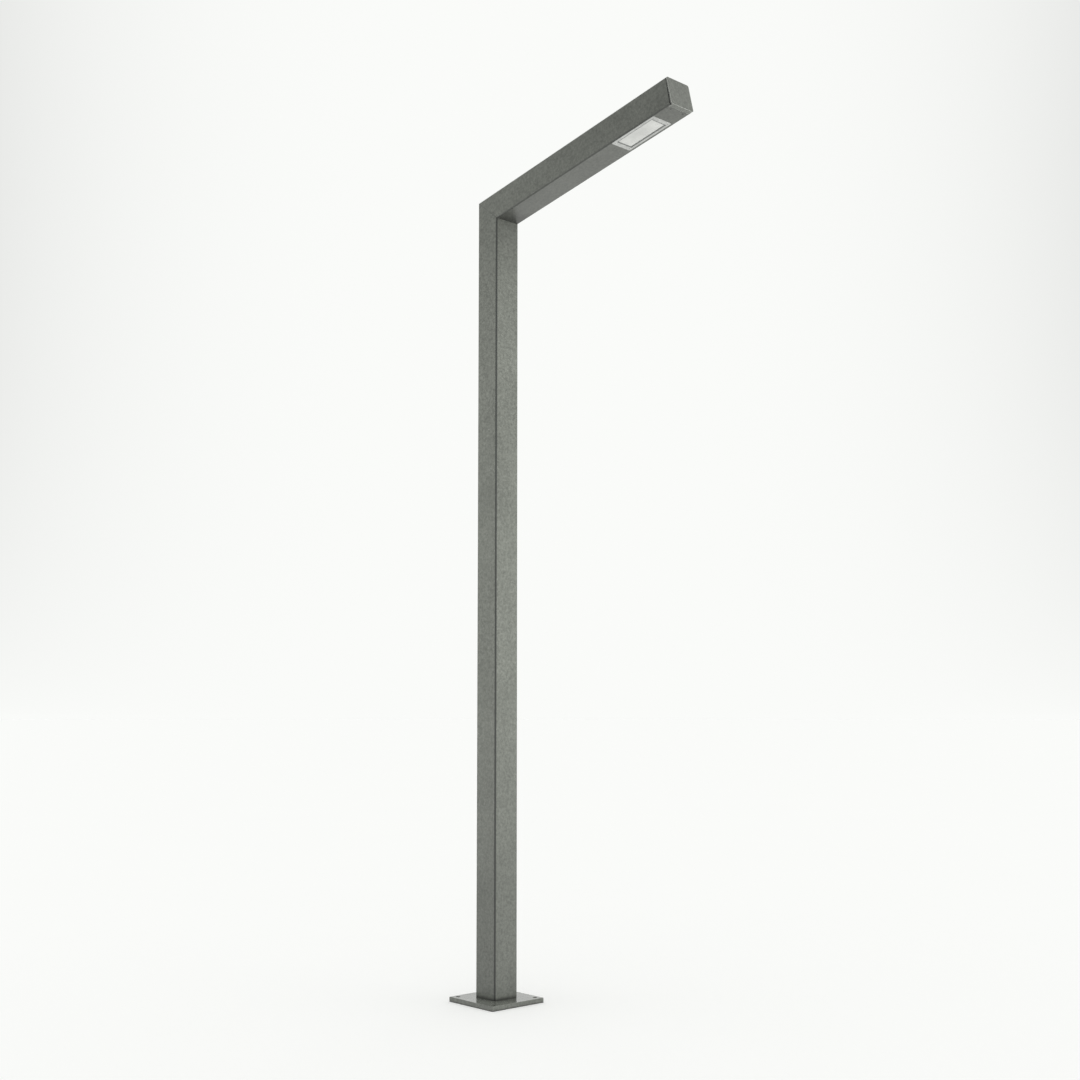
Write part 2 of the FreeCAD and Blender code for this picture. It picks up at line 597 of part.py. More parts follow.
def make_feed_cable():
    """From the fuse holder's outlet straight up the post, round one bend and along the arm."""
    start = V(CABLE_X, FUSE_Y, UPPER_RAIL_Z + GEAR_HEIGHT / 2)
    direction = V(math.cos(ANGLE), 0, math.sin(ANGLE))
    square_to_arm = V(math.sin(ANGLE), 0, -math.cos(ANGLE))
    elbow = V(-HALF_POST, FUSE_Y, ELBOW_HEIGHT) + square_to_arm * CABLE_DEPTH
    corner = elbow + direction * ((CABLE_X - elbow.x) / direction.x)
    end = elbow + direction * DRIVER_START
    turn = math.pi / 2 - ANGLE
    tangent = CABLE_BEND * math.tan(turn / 2)
    bend_start = corner - Z_AXIS * tangent
    bend_end = corner + direction * tangent
    centre = bend_start + X_AXIS * CABLE_BEND
    towards = (corner - centre)
    middle = centre + towards * (CABLE_BEND / towards.Length)
    edges = [
        Part.LineSegment(start, bend_start).toShape(),
        Part.Arc(bend_start, middle, bend_end).toShape(),
        Part.LineSegment(bend_end, end).toShape(),
    ]
    path = Part.Wire(edges)
    section = Part.Wire(Part.Circle(start, Z_AXIS, CABLE_RADIUS).toShape())
    cable = path.makePipeShell([section], True, True)
    expected = math.pi * CABLE_RADIUS**2 * path.Length
    print(f"feed cable bend {CABLE_BEND} mm, length {path.Length:.1f} mm, volume {cable.Volume / expected:.5f}")
    save("feed_cable", cable)


# ---- the service door, in the post's rear face ----
HINGE_X = -HALF_POST - BARREL_OFFSET
HINGE_Y = DOOR_WIDTH / 2 + DOOR_GAP / 2
FRAME_X = -INNER_WALL
LEAF_INNER_X = -HALF_POST + DOOR_THICKNESS


def make_door_frame():
    outer_w = DOOR_WIDTH + 2 * FRAME_BORDER
    outer_h = DOOR_HEIGHT + 2 * FRAME_BORDER
    inner_w, inner_h = DOOR_WIDTH - 2 * LEDGE, DOOR_HEIGHT - 2 * LEDGE
    frame = door_block(outer_w, outer_h, DOOR_CORNER, FRAME_X, FRAME_X + FRAME_THICKNESS)
    frame = frame.cut(door_block(inner_w, inner_h, FRAME_CORNER, FRAME_X - 1, FRAME_X + FRAME_THICKNESS + 1))
    save("door_frame", frame)
    seal = door_block(DOOR_WIDTH + 2, DOOR_HEIGHT + 2, DOOR_CORNER, FRAME_X - DOOR_GASKET, FRAME_X)
    seal = seal.cut(door_block(inner_w + 2, inner_h + 2, FRAME_CORNER, FRAME_X - 1, FRAME_X + 1))
    save("door_gasket", seal)


def lock_rod(radius, x0, x1):
    return rod(radius, (x0, LOCK_Y, DOOR_CENTRE_Z), (x1, LOCK_Y, DOOR_CENTRE_Z))


def make_door():
    leaf = door_block(DOOR_WIDTH, DOOR_HEIGHT, DOOR_CORNER, -HALF_POST, LEAF_INNER_X)
    save("door_leaf", leaf.cut(lock_rod(LOCK_RADIUS, -HALF_POST - 1, LEAF_INNER_X + 1)))
    post_barrels, door_barrels, pins = [], [], []
    for side in (-1, 1):
        middle = DOOR_CENTRE_Z + side * HINGE_SPREAD
        low, high = middle - BARREL_LENGTH, middle + BARREL_LENGTH
        pin = rod(PIN_RADIUS, (HINGE_X, HINGE_Y, low), (HINGE_X, HINGE_Y, high - PIN_SHORT))
        bore = rod(PIN_RADIUS + PIN_CLEARANCE, (HINGE_X, HINGE_Y, middle), (HINGE_X, HINGE_Y, high + 1))
        post_half = rod(BARREL_RADIUS, (HINGE_X, HINGE_Y, low), (HINGE_X, HINGE_Y, middle - HINGE_GAP))
        door_half = rod(BARREL_RADIUS, (HINGE_X, HINGE_Y, middle + HINGE_GAP), (HINGE_X, HINGE_Y, high))
        post_half = post_half.fuse(
            box(
                HINGE_X, -HALF_POST, HINGE_Y + HINGE_LEAF_FROM, HINGE_Y + HINGE_LEAF_TO,
                low + HINGE_LEAF_INSET, middle - HINGE_LEAF_INSET,
            )
        )
        door_half = door_half.fuse(
            box(
                HINGE_X, -HALF_POST, HINGE_Y - HINGE_LEAF_TO, HINGE_Y - HINGE_LEAF_FROM,
                middle + HINGE_LEAF_INSET, high - HINGE_LEAF_INSET,
            )
        )
        post_barrels.append(post_half.cut(pin))
        door_barrels.append(door_half.cut(bore))
        pins.append(pin)
    save("hinge_post_halves", *post_barrels)
    save("hinge_door_halves", *door_barrels)
    save("hinge_pins", *pins)


CAM_X = FRAME_X + FRAME_THICKNESS + CAM_GAP
LOCK_FACE_X = -HALF_POST - LOCK_PROUD
KEY_X = LOCK_FACE_X + KEY_RECESS


def make_lock():
    """The barrel opens outwards as a well, with the triangular key end of the spindle inside it."""
    barrel_end = CAM_X - BARREL_GAP
    rim = lock_rod(LOCK_RADIUS + LOCK_RIM, LOCK_FACE_X, -HALF_POST)
    barrel = rim.fuse(lock_rod(LOCK_RADIUS, -HALF_POST, barrel_end))
    barrel = barrel.cut(lock_rod(LOCK_WELL_RADIUS, LOCK_FACE_X - 1, LOCK_FLOOR_X))
    save("lock_barrel", barrel.cut(lock_rod(SPINDLE_RADIUS + SPINDLE_PLAY, LOCK_FLOOR_X - 1, barrel_end + 1)))
    seat = (LEAF_INNER_X, LOCK_Y, DOOR_CENTRE_Z)
    nut = hexagon(LOCK_NUT_SIZE, seat, (LEAF_INNER_X + LOCK_NUT_HEIGHT, LOCK_Y, DOOR_CENTRE_Z))
    save("lock_nut", nut.cut(lock_rod(LOCK_RADIUS, -HALF_POST, CAM_X)))
    collar_x = LOCK_FLOOR_X - SPINDLE_COLLAR_TOP
    shaft = lock_rod(SPINDLE_RADIUS, LOCK_FLOOR_X - SPINDLE_GAP, CAM_X)
    shaft = shaft.fuse(lock_rod(SPINDLE_COLLAR, collar_x, LOCK_FLOOR_X - SPINDLE_GAP))
    triangle = []
    for corner in range(4):
        angle = math.radians(90 + 120 * corner)
        across, up = KEY_RADIUS * math.cos(angle), KEY_RADIUS * math.sin(angle)
        triangle.append(V(KEY_X, LOCK_Y + across, DOOR_CENTRE_Z + up))
    key = Part.Face(Part.makePolygon(triangle)).extrude(V(collar_x - KEY_X, 0, 0))
    cam_back = CAM_X + CAM_THICKNESS
    square = block((CAM_X + CAM_THICKNESS / 2, LOCK_Y, DOOR_CENTRE_Z), (CAM_THICKNESS, CAM_SQUARE, CAM_SQUARE))
    screw_shaft = lock_rod(CAM_SCREW_RADIUS, CAM_X - CAM_SCREW_DEPTH, cam_back)
    save("lock_spindle", shaft.fuse(key).fuse(square).cut(screw_shaft))
    near, far = LOCK_Y - CAM_HALF_WIDTH, LOCK_Y + CAM_HALF_WIDTH
    arm = box(CAM_X, cam_back, near, far, DOOR_CENTRE_Z, DOOR_CENTRE_Z + CAM_REACH)
    arm = round_edges(arm, CAM_HALF_WIDTH / 2, X_AXIS)
    save("lock_cam", lock_rod(CAM_RADIUS, CAM_X, cam_back).fuse(arm).cut(square))
    screw_head = lock_rod(CAM_SCREW_HEAD, cam_back, cam_back + CAM_SCREW_HEAD_HEIGHT)
    save("cam_screw", screw_shaft.fuse(screw_head))


# ---- the gear inside the post ----
BOARD_BACK_X = BOARD_FRONT_X + BOARD_THICKNESS
BOARD_STUD_Z = (548.0, 790.0)
RAIL_FRONT_X = BOARD_FRONT_X - RAIL_DEPTH


def make_board():
    board = box(BOARD_FRONT_X, BOARD_BACK_X, -BOARD_WIDTH / 2, BOARD_WIDTH / 2, BOARD_BOTTOM, BOARD_TOP)
    board = round_edges(board, BOARD_CORNER, X_AXIS)
    studs, spacers, nuts = [], [], []
    for level in BOARD_STUD_Z:
        for side in (-BOARD_STUD_Y, BOARD_STUD_Y):
            root = (INNER_WALL, side, level)
            stud = rod(STUD_RADIUS, root, (BOARD_FRONT_X - STUD_PROUD, side, level))
            spacer = rod(SPACER_RADIUS, root, (BOARD_BACK_X, side, level))
            nut_face = (BOARD_FRONT_X - BOARD_NUT_HEIGHT, side, level)
            nut = hexagon(BOARD_NUT_SIZE, nut_face, (BOARD_FRONT_X, side, level))
            board = board.cut(stud)
            studs.append(stud)
            spacers.append(spacer.cut(stud))
            nuts.append(nut.cut(stud))
    rails, rivets = [], []
    web_face = BOARD_FRONT_X - RAIL_SHEET
    for level in (UPPER_RAIL_Z, LOWER_RAIL_Z):
        rail = make_rail(level)
        for side in (-RIVET_Y, RIVET_Y):
            rivet = rod(RIVET_RADIUS, (BOARD_BACK_X, side, level), (web_face, side, level))
            head = rod(RIVET_HEAD, (web_face, side, level), (web_face - RIVET_HEAD_HEIGHT, side, level))
            board = board.cut(rivet)
            rail = rail.cut(rivet)
            rivets.append(rivet.fuse(head))
        rails.append(rail)
    save("gear_board", board)
    save("board_studs", *studs)
    save("board_spacers", *spacers)
    save("board_nuts", *nuts)
    save("mounting_rails", *rails)
    save("rail_rivets", *rivets)


def make_rail(level):
    """Top-hat rail, 35 mm by 7.5 mm, its web against the board."""
    half = RAIL_LENGTH / 2
    reach = RAIL_WEB + RAIL_SHEET
    rail = box(BOARD_FRONT_X - RAIL_SHEET, BOARD_FRONT_X, -half, half, level - reach, level + reach)
    for side in (-1, 1):
        inner, outer, tip = level + side * RAIL_WEB, level + side * reach, level + side * RAIL_LIP
        rail = rail.fuse(box(RAIL_FRONT_X, BOARD_FRONT_X, -half, half, min(inner, outer), max(inner, outer)))
        lip = box(RAIL_FRONT_X, RAIL_FRONT_X + RAIL_SHEET, -half, half, min(inner, tip), max(inner, tip))
        rail = rail.fuse(lip)
    return rail


SLOT_HALF = 6.2
SLOT_FLOOR_X = 23.0
SLOT_BELOW = 4.6
SLOT_ABOVE = 40.6
EAR_REACH = 4.0
EAR_HEIGHT = 5.0
PIVOT_X = -8.0
PIVOT_Z = 717.0
CARRIER_PIN_RADIUS = 1.5
CARRIER_PLAY = 0.4
CARRIER_RADIUS = 40.0
CARRIER_DEPTH_X = 20.0
CARRIER_FRONT = 6.0
CARRIER_HUB = 4.0
GRIP_FROM = 30.0
GRIP_TO = 36.0
FUSE_X = 4.0
FUSE_RADIUS = 4.25
FUSE_FROM = 2.8
FUSE_TO = 34.3
CONTACT_X = 22.2
CONTACT_SIZE = (1.6, 7.0, 8.0)
CONTACT_LEVELS = (8.0, 30.0)


def gear_body(centre_y):
    """A rail-mounted device one module wide on the upper rail."""
    half = MODULE_PITCH / 2
    low, high = UPPER_RAIL_Z - GEAR_HEIGHT / 2, UPPER_RAIL_Z + GEAR_HEIGHT / 2
    return box(GEAR_FRONT_X, RAIL_FRONT_X, centre_y - half, centre_y + half, low, high)


def fuse_slice(half, x0, x1, z0, z1):
    """A box about the fuse's centre plane, its levels measured from the pivot."""
    return box(x0, x1, FUSE_Y - half, FUSE_Y + half, PIVOT_Z + z0, PIVOT_Z + z1)


def pivot_rod(radius, half):
    return rod(radius, (PIVOT_X, FUSE_Y - half, PIVOT_Z), (PIVOT_X, FUSE_Y + half, PIVOT_Z))


def make_fuse_holder():
    half = MODULE_PITCH / 2
    slot = fuse_slice(SLOT_HALF, GEAR_FRONT_X - 1, SLOT_FLOOR_X, -SLOT_BELOW, SLOT_ABOVE)
    ears = fuse_slice(half, PIVOT_X - EAR_REACH, GEAR_FRONT_X, -EAR_REACH, EAR_HEIGHT)
    between = fuse_slice(SLOT_HALF, PIVOT_X - EAR_REACH - 1, GEAR_FRONT_X + 1, -EAR_REACH - 1, EAR_HEIGHT + 1)
    ears = ears.cut(between)
    pin = pivot_rod(CARRIER_PIN_RADIUS, half)
    save("fuse_holder", gear_body(FUSE_Y).cut(slot).fuse(ears).cut(pin))
    save("carrier_pin", pin)
    contacts = [block((CONTACT_X, FUSE_Y, PIVOT_Z + level), CONTACT_SIZE) for level in CONTACT_LEVELS]
    save("fuse_contacts", *contacts)


def make_fuse_carrier():
    half = SLOT_HALF - CARRIER_PLAY
    sector = pivot_rod(CARRIER_RADIUS, half)
    body = sector.common(fuse_slice(half, PIVOT_X, CARRIER_DEPTH_X, 0, CARRIER_RADIUS))
    front = fuse_slice(half, PIVOT_X - CARRIER_FRONT, PIVOT_X, 0, CARRIER_RADIUS)
    grip = fuse_slice(half, PIVOT_X - 2 * CARRIER_FRONT, PIVOT_X - CARRIER_FRONT, GRIP_FROM, GRIP_TO)
    carrier = body.fuse(front).fuse(grip).fuse(pivot_rod(CARRIER_HUB, half))
    carrier = carrier.cut(pivot_rod(CARRIER_PIN_RADIUS + PIN_CLEARANCE, MODULE_PITCH / 2))
    fuse = rod(FUSE_RADIUS, (FUSE_X, FUSE_Y, PIVOT_Z + FUSE_FROM), (FUSE_X, FUSE_Y, PIVOT_Z + FUSE_TO))
    pocket = fuse.fuse(fuse_slice(FUSE_RADIUS, FUSE_X, CARRIER_DEPTH_X + 1, FUSE_FROM, FUSE_TO))
    save("fuse_carrier", carrier.cut(pocket))
    save("cartridge_fuse", fuse)


NOSE_REACH = 10.0
NOSE_MARGIN = 18.0
GEAR_EDGE = 0.8
TERMINAL_FRONT_X = -2.0
TERMINAL_PITCH = 9.0
TERMINAL_COUNT = 4
TERMINAL_HEIGHT = 46.0
TERMINAL_SCREW_Z = 13.0
TERMINAL_WELL_RADIUS = 3.0
TERMINAL_SCREW_RADIUS = 2.8
TERMINAL_SCREW_FACE_X = 0.0
TERMINAL_FLOOR_X = 5.0
SLOT_CUT = (1.6, 8.0, 0.8)
WIRE_X = 20.0
WIRE_RADIUS = 1.6
CLAMP_HALF = 8.0
CLAMP_BRACKET = (780.0, 784.0)
CLAMP_TOP = 796.0
EARTH_Z = 502.0
EARTH_STUD_RADIUS = 4.0
EARTH_STUD_TIP_X = 10.0
EARTH_NUT_SIZE = 13.0
EARTH_NUT_HEIGHT = 6.5
LUG_RADIUS = 8.5
LUG_HALF_THICKNESS = 1.0
LUG_HALF_WIDTH = 3.0
LUG_FROM = 6.0
LUG_TO = 16.0
EARTH_LEAD_RADIUS = 2.2


def make_gear():
    nose = box(
        GEAR_FRONT_X - NOSE_REACH, GEAR_FRONT_X, SURGE_Y - MODULE_PITCH / 2, SURGE_Y + MODULE_PITCH / 2,
        UPPER_RAIL_Z - GEAR_HEIGHT / 2 + NOSE_MARGIN, UPPER_RAIL_Z + GEAR_HEIGHT / 2 - NOSE_MARGIN,
    )
    arrester = gear_body(SURGE_Y).fuse(nose).removeSplitter()
    save("surge_protector", round_edges(arrester, GEAR_EDGE, Y_AXIS))
    block_half = TERMINAL_PITCH * TERMINAL_COUNT / 2
    low = LOWER_RAIL_Z - TERMINAL_HEIGHT / 2
    high = LOWER_RAIL_Z + TERMINAL_HEIGHT / 2
    terminals = box(TERMINAL_FRONT_X, RAIL_FRONT_X, -block_half, block_half, low, high)
    screws = []
    for index in range(TERMINAL_COUNT):
        spot = (index - (TERMINAL_COUNT - 1) / 2) * TERMINAL_PITCH
        for level in (LOWER_RAIL_Z - TERMINAL_SCREW_Z, LOWER_RAIL_Z + TERMINAL_SCREW_Z):
            floor = (TERMINAL_FLOOR_X, spot, level)
            face = (TERMINAL_SCREW_FACE_X, spot, level)
            terminals = terminals.cut(rod(TERMINAL_WELL_RADIUS, (TERMINAL_FRONT_X - 1, spot, level), floor))
            screws.append(rod(TERMINAL_SCREW_RADIUS, face, floor).cut(block(face, SLOT_CUT)))
    save("terminal_block", terminals)
    save("terminal_screws", *screws)
    gear_low = UPPER_RAIL_Z - GEAR_HEIGHT / 2
    wires = [rod(WIRE_RADIUS, (WIRE_X, spot, high), (WIRE_X, spot, gear_low)) for spot in (SURGE_Y, FUSE_Y)]
    save("link_wires", *wires)
    near, far = FUSE_Y - CLAMP_HALF, FUSE_Y + CLAMP_HALF
    clamp = box(CABLE_X - CLAMP_HALF, BOARD_FRONT_X, near, far, *CLAMP_BRACKET)
    clamp = clamp.fuse(
        box(CABLE_X - CLAMP_HALF, CABLE_X + CLAMP_HALF, near, far, CLAMP_BRACKET[1], CLAMP_TOP)
    )
    cable_line = rod(CABLE_RADIUS, (CABLE_X, FUSE_Y, UPPER_RAIL_Z), (CABLE_X, FUSE_Y, CLAMP_TOP + 1))
    save("cable_clamp", clamp.cut(cable_line))


def make_earthing():
    spot = -TERMINAL_PITCH * 1.5
    stud = rod(EARTH_STUD_RADIUS, (INNER_WALL, spot, EARTH_Z), (EARTH_STUD_TIP_X, spot, EARTH_Z))
    lug_front, lug_back = WIRE_X - LUG_HALF_THICKNESS, WIRE_X + LUG_HALF_THICKNESS
    nuts = []
    for start in (lug_front - EARTH_NUT_HEIGHT, lug_back):
        nut = hexagon(EARTH_NUT_SIZE, (start, spot, EARTH_Z), (start + EARTH_NUT_HEIGHT, spot, EARTH_Z))
        nuts.append(nut.cut(stud))
    save("earth_stud", stud)
    save("earth_nuts", *nuts)
    lug = rod(LUG_RADIUS, (lug_front, spot, EARTH_Z), (lug_back, spot, EARTH_Z)).cut(stud)
    tail = box(
        lug_front, lug_back, spot - LUG_HALF_WIDTH, spot + LUG_HALF_WIDTH, EARTH_Z + LUG_FROM, EARTH_Z + LUG_TO
    )
    save("earth_lug", lug.fuse(tail))
    lead_top = LOWER_RAIL_Z - TERMINAL_HEIGHT / 2
    save("earth_lead", rod(EARTH_LEAD_RADIUS, (WIRE_X, spot, EARTH_Z + LUG_TO), (WIRE_X, spot, lead_top)))


make_base_plate()
make_post()
make_arm()
make_end_cap()
make_module_housing()
make_heat_sink()
make_light_engine()
make_driver()
make_feed_cable()
make_door_frame()
make_door()
make_lock()
make_board()
make_fuse_holder()
make_fuse_carrier()
make_gear()
make_earthing()
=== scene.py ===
import json
import math

import bmesh
import bpy
from mathutils import Matrix, Vector


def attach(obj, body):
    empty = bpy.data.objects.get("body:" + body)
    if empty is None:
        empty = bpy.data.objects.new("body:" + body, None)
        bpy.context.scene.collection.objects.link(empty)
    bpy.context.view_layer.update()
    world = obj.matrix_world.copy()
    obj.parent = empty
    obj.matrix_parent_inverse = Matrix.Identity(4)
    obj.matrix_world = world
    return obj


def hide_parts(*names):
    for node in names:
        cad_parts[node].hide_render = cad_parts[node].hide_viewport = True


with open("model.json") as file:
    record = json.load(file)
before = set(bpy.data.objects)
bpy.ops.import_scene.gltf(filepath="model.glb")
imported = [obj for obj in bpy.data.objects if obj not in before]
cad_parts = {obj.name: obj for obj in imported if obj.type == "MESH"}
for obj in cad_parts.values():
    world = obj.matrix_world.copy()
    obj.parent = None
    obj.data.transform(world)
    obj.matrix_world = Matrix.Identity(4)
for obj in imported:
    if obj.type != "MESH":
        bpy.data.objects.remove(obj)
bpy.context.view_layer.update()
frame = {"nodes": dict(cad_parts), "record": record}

# Street lamp post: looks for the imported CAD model. Metres, same frame as the CAD.
MM = 0.001
NODES = frame["nodes"]
SLOT_OF = {piece["node"]: piece["material_slot"] for piece in frame["record"]["subparts"]}

# ---- camera ----
CAMERA_PLACE = (4.396, -3.743, 1.157)
CAMERA_TURN = (94.492, 0.0, 47.837)
CAMERA_LENS = 46.69
CAMERA_SENSOR = 36.0
CAMERA_SHIFT_Y = 0.0602

# ---- light ----
BACKDROP = (0.957, 0.966, 0.948)
SKY_LOW = 0.30
SKY_BEHIND = 1.0
SKY_HIGH = 1.12
SKY_FROM = 0.1
SKY_TO = 0.95
BEHIND_FROM = 0.45
BEHIND_TO = 0.85
FLOOR_RADIUS = 400.0
FLOOR_ALBEDO = 0.93
BACKDROP_RIGHT = (0.6713, 0.7412, 0.0)
BACKDROP_AHEAD = (-0.7412, 0.6713, 0.0)
EDGE_SHADE = 19.0
EDGE_SHADE_LIMIT = 0.16
EDGE_SHADE_TOP = 0.5
EDGE_SHADE_CURVE = 0.6
EDGE_SHADE_FROM = 0.7
EDGE_SHADE_TO = 0.78


# ---- nodes ----
class Shader:
    """A node material in the making: one Principled shader and short calls for what feeds it."""

    def __init__(self, name):
        self.material = bpy.data.materials.new(name)
        self.material.use_nodes = True
        self.tree = self.material.node_tree
        self.tree.nodes.clear()
        self.surface = self.node("ShaderNodeBsdfPrincipled")
        out = self.node("ShaderNodeOutputMaterial")
        self.tree.links.new(self.surface.outputs[0], out.inputs["Surface"])
        self.place = self.node("ShaderNodeTexCoord").outputs["Object"]

    def node(self, kind, **settings):
        made = self.tree.nodes.new(kind)
        for key, value in settings.items():
            setattr(made, key, value)
        return made

    def put(self, socket, value):
        """A number, a colour or another node's output into a socket."""
        if isinstance(value, bpy.types.NodeSocket):
            self.tree.links.new(value, socket)
        else:
            socket.default_value = value

    def set(self, **inputs):
        for key, value in inputs.items():
            self.put(self.surface.inputs[key.replace("_", " ")], value)

    def math(self, operation, a, b=0.0, clamp=False):
        made = self.node("ShaderNodeMath", operation=operation, use_clamp=clamp)
        self.put(made.inputs[0], a)
        self.put(made.inputs[1], b)
        return made.outputs[0]

    def stretched(self, scale):
        made = self.node("ShaderNodeMapping")
        self.put(made.inputs["Vector"], self.place)
        made.inputs["Scale"].default_value = scale
        return made.outputs[0]

    def noise(self, per_metre, detail=2.0, rough=0.5, at=None):
        made = self.node("ShaderNodeTexNoise")
        self.put(made.inputs["Vector"], at or self.place)
        made.inputs["Scale"].default_value = per_metre
        made.inputs["Detail"].default_value = detail
        made.inputs["Roughness"].default_value = rough
        return made.outputs[0]

    def cells(self, per_metre, output="Color"):
        made = self.node("ShaderNodeTexVoronoi")
        self.put(made.inputs["Vector"], self.place)
        made.inputs["Scale"].default_value = per_metre
        return made.outputs[output]

    def span(self, value, low, high, start=0.3, end=0.7):
        """A texture's middle range spread between two numbers."""
        made = self.node("ShaderNodeMapRange")
        self.put(made.inputs["Value"], value)
        made.inputs["From Min"].default_value = start
        made.inputs["From Max"].default_value = end
        made.inputs["To Min"].default_value = low
        made.inputs["To Max"].default_value = high
        return made.outputs[0]

    def tint(self, colour, factor):
        """A colour made lighter or darker by a factor."""
        made = self.node("ShaderNodeVectorMath", operation="SCALE")
        self.put(made.inputs[0], colour)
        self.put(made.inputs["Scale"], factor)
        return made.outputs[0]

    def blend(self, factor, a, b):
        made = self.node("ShaderNodeMix", data_type="RGBA")
        self.put(made.inputs["Factor"], factor)
        self.put(made.inputs["A"], (*a, 1.0) if isinstance(a, tuple) else a)
        self.put(made.inputs["B"], (*b, 1.0) if isinstance(b, tuple) else b)
        return made.outputs["Result"]

    def relief(self, height, depth, strength=1.0, under=None):
        made = self.node("ShaderNodeBump")
        made.inputs["Strength"].default_value = strength
        made.inputs["Distance"].default_value = depth
        self.put(made.inputs["Height"], height)
        if under is not None:
            self.put(made.inputs["Normal"], under)
        return made.outputs[0]

    def along(self, vector, direction):
        made = self.node("ShaderNodeVectorMath", operation="DOT_PRODUCT")
        self.put(made.inputs[0], vector)
        self.put(made.inputs[1], direction)
        return made.outputs["Value"]

    def edges(self, radius):
        """1 on edges, 0 on flat faces: how far a rounded normal leans off the true one. Wear on edges follows
        it, and on the painted steel so do painted edge shade and painted highlights.
        """
        rounded = self.node("ShaderNodeBevel", samples=4)
        rounded.inputs["Radius"].default_value = radius
        lean = self.along(rounded.outputs[0], self.node("ShaderNodeNewGeometry").outputs["Normal"])
        return self.math("SUBTRACT", 1.0, lean, clamp=True)


PAINT = (0.077, 0.081, 0.072)
# Dark colour of painted shade, laid at the post's foot, along the plate's lower edge and near the elbow.
SHADE_DARK = (0.012, 0.012, 0.011)
# Edge colours: a dark edge of dirt and painted shade, a light edge of wear and painted highlight, and a brighter
# painted highlight.
DIRT_AND_SHADE_EDGE = (0.03, 0.032, 0.03)
RUBBED_HIGHLIGHT_EDGE = (0.22, 0.23, 0.21)
HIGHLIGHT_EDGE = (0.32, 0.33, 0.31)


def painted_steel(
    name="painted_steel", rough=(0.28, 0.42), lacquer=0.12, edge_width=3.0, edge=DIRT_AND_SHADE_EDGE,
    foot_shade_band=(0.021, 0.034), arris=None, elbow_shade=None,
):
    """Satin powder coat: cloudy at arm's length, speckled close up. Its edges take dirt with painted shade,
    or wear with a painted highlight, after the edge colour given.

    arris darkens a bar's four long edges and elbow_shade one face near the elbow: both are painted shade.
    Both are paint, chosen to look like the photograph, and stay put whatever the light. The paint is also
    darker towards the foot: painted shade where the post meets the plate and at the plate's lower edge.
    """
    s = Shader(name)
    cloud = s.span(s.noise(3.2, 4.0, 0.6), 0.88, 1.12)
    mottle = s.span(s.noise(95.0, 3.0, 0.75), 0.7, 1.3)
    speckle = s.span(s.noise(520.0, 2.0, 0.7), 0.82, 1.18)
    tone = s.math("MULTIPLY", s.math("MULTIPLY", cloud, mottle), speckle)
    # Edge marks in patches: wear and dirt, together with painted shade or a painted highlight along the edges,
    # after the edge colour.
    patches = s.span(s.noise(60.0, 4.0, 0.7), 3.0, 9.0, 0.35, 0.7)
    edge_wear_and_painted_light = s.math("MULTIPLY", s.edges(edge_width * MM), patches, clamp=True)
    # Painted shade along the bar's four long edges, a dark line at each arris.
    if arris:
        across, middle, start, full = arris
        off_axis = s.math("ABSOLUTE", s.math("SUBTRACT", s.along(s.place, across), middle))
        corner = s.math("MULTIPLY", off_axis, s.math("ABSOLUTE", s.along(s.place, (0, 1, 0))))
        edge_wear_and_painted_light = s.math("MAXIMUM", edge_wear_and_painted_light, s.span(corner, 0.0, 1.0, start, full))
    height = s.node("ShaderNodeSeparateXYZ")
    s.put(height.inputs[0], s.place)
    # Darker towards the foot: painted shade where the post meets the plate and along the plate's lower edge,
    # broken up by noise.
    low_down = s.span(height.outputs["Z"], 1.0, 0.0, *foot_shade_band)
    painted_shade = s.math("MULTIPLY", low_down, s.span(s.noise(25.0, 4.0), 0.6, 1.0))
    # Painted shade on one face near the elbow; its least value keeps some painted shade over the whole face.
    if elbow_shade:
        axis, far, near, facing_way, strength, least = elbow_shade
        normal = s.node("ShaderNodeNewGeometry").outputs["Normal"]
        on_face = s.span(s.along(normal, facing_way), 0.0, strength, 0.5, 0.9)
        close = s.span(height.outputs[axis], least, 1.0, far, near)
        painted_shade = s.math("MAXIMUM", painted_shade, s.math("MULTIPLY", on_face, close))
    paint = s.tint(PAINT, tone)
    s.set(Base_Color=s.blend(painted_shade, s.blend(edge_wear_and_painted_light, paint, edge), SHADE_DARK))
    grain = s.math("MULTIPLY", s.noise(38.0, 5.0, 0.65), s.noise(240.0, 2.0, 0.6))
    s.set(Roughness=s.math("ADD", s.span(grain, *rough, 0.15, 0.38), s.math("MULTIPLY", edge_wear_and_painted_light, 0.12)))
    peel = s.relief(s.noise(700.0, 2.0, 0.5), 0.06 * MM, 0.4)
    s.set(Normal=s.relief(s.noise(9.0, 2.0, 0.5), 0.5 * MM, 0.25, under=peel))
    s.surface.inputs["IOR"].default_value = 1.46
    s.surface.inputs["Coat Weight"].default_value = lacquer
    s.surface.inputs["Coat Roughness"].default_value = 0.08
    return s.material


def brushed_metal(name, colour, stretch, rough=(0.24, 0.4), metallic=1.0, dirt=0.25):
    """Metal with fine drawn lines along one direction, dull in patches, brighter at its edges."""
    s = Shader(name)
    lines = s.noise(260.0, 3.0, 0.7, at=s.stretched(stretch))
    patch = s.noise(45.0, 4.0, 0.6)
    tone = s.math("MULTIPLY", s.span(lines, 0.88, 1.1), s.span(patch, 1.0 - dirt, 1.05))
    bright = s.math("MULTIPLY", s.edges(0.5 * MM), 3.0, clamp=True)
    s.set(Base_Color=s.blend(bright, s.tint(colour, tone), tuple(min(1.0, c * 1.25) for c in colour)))
    s.set(Roughness=s.math("ADD", s.span(lines, *rough), s.span(patch, 0.06, -0.04)))
    s.set(Normal=s.relief(lines, 0.03 * MM, 0.4))
    s.surface.inputs["Metallic"].default_value = metallic
    return s.material


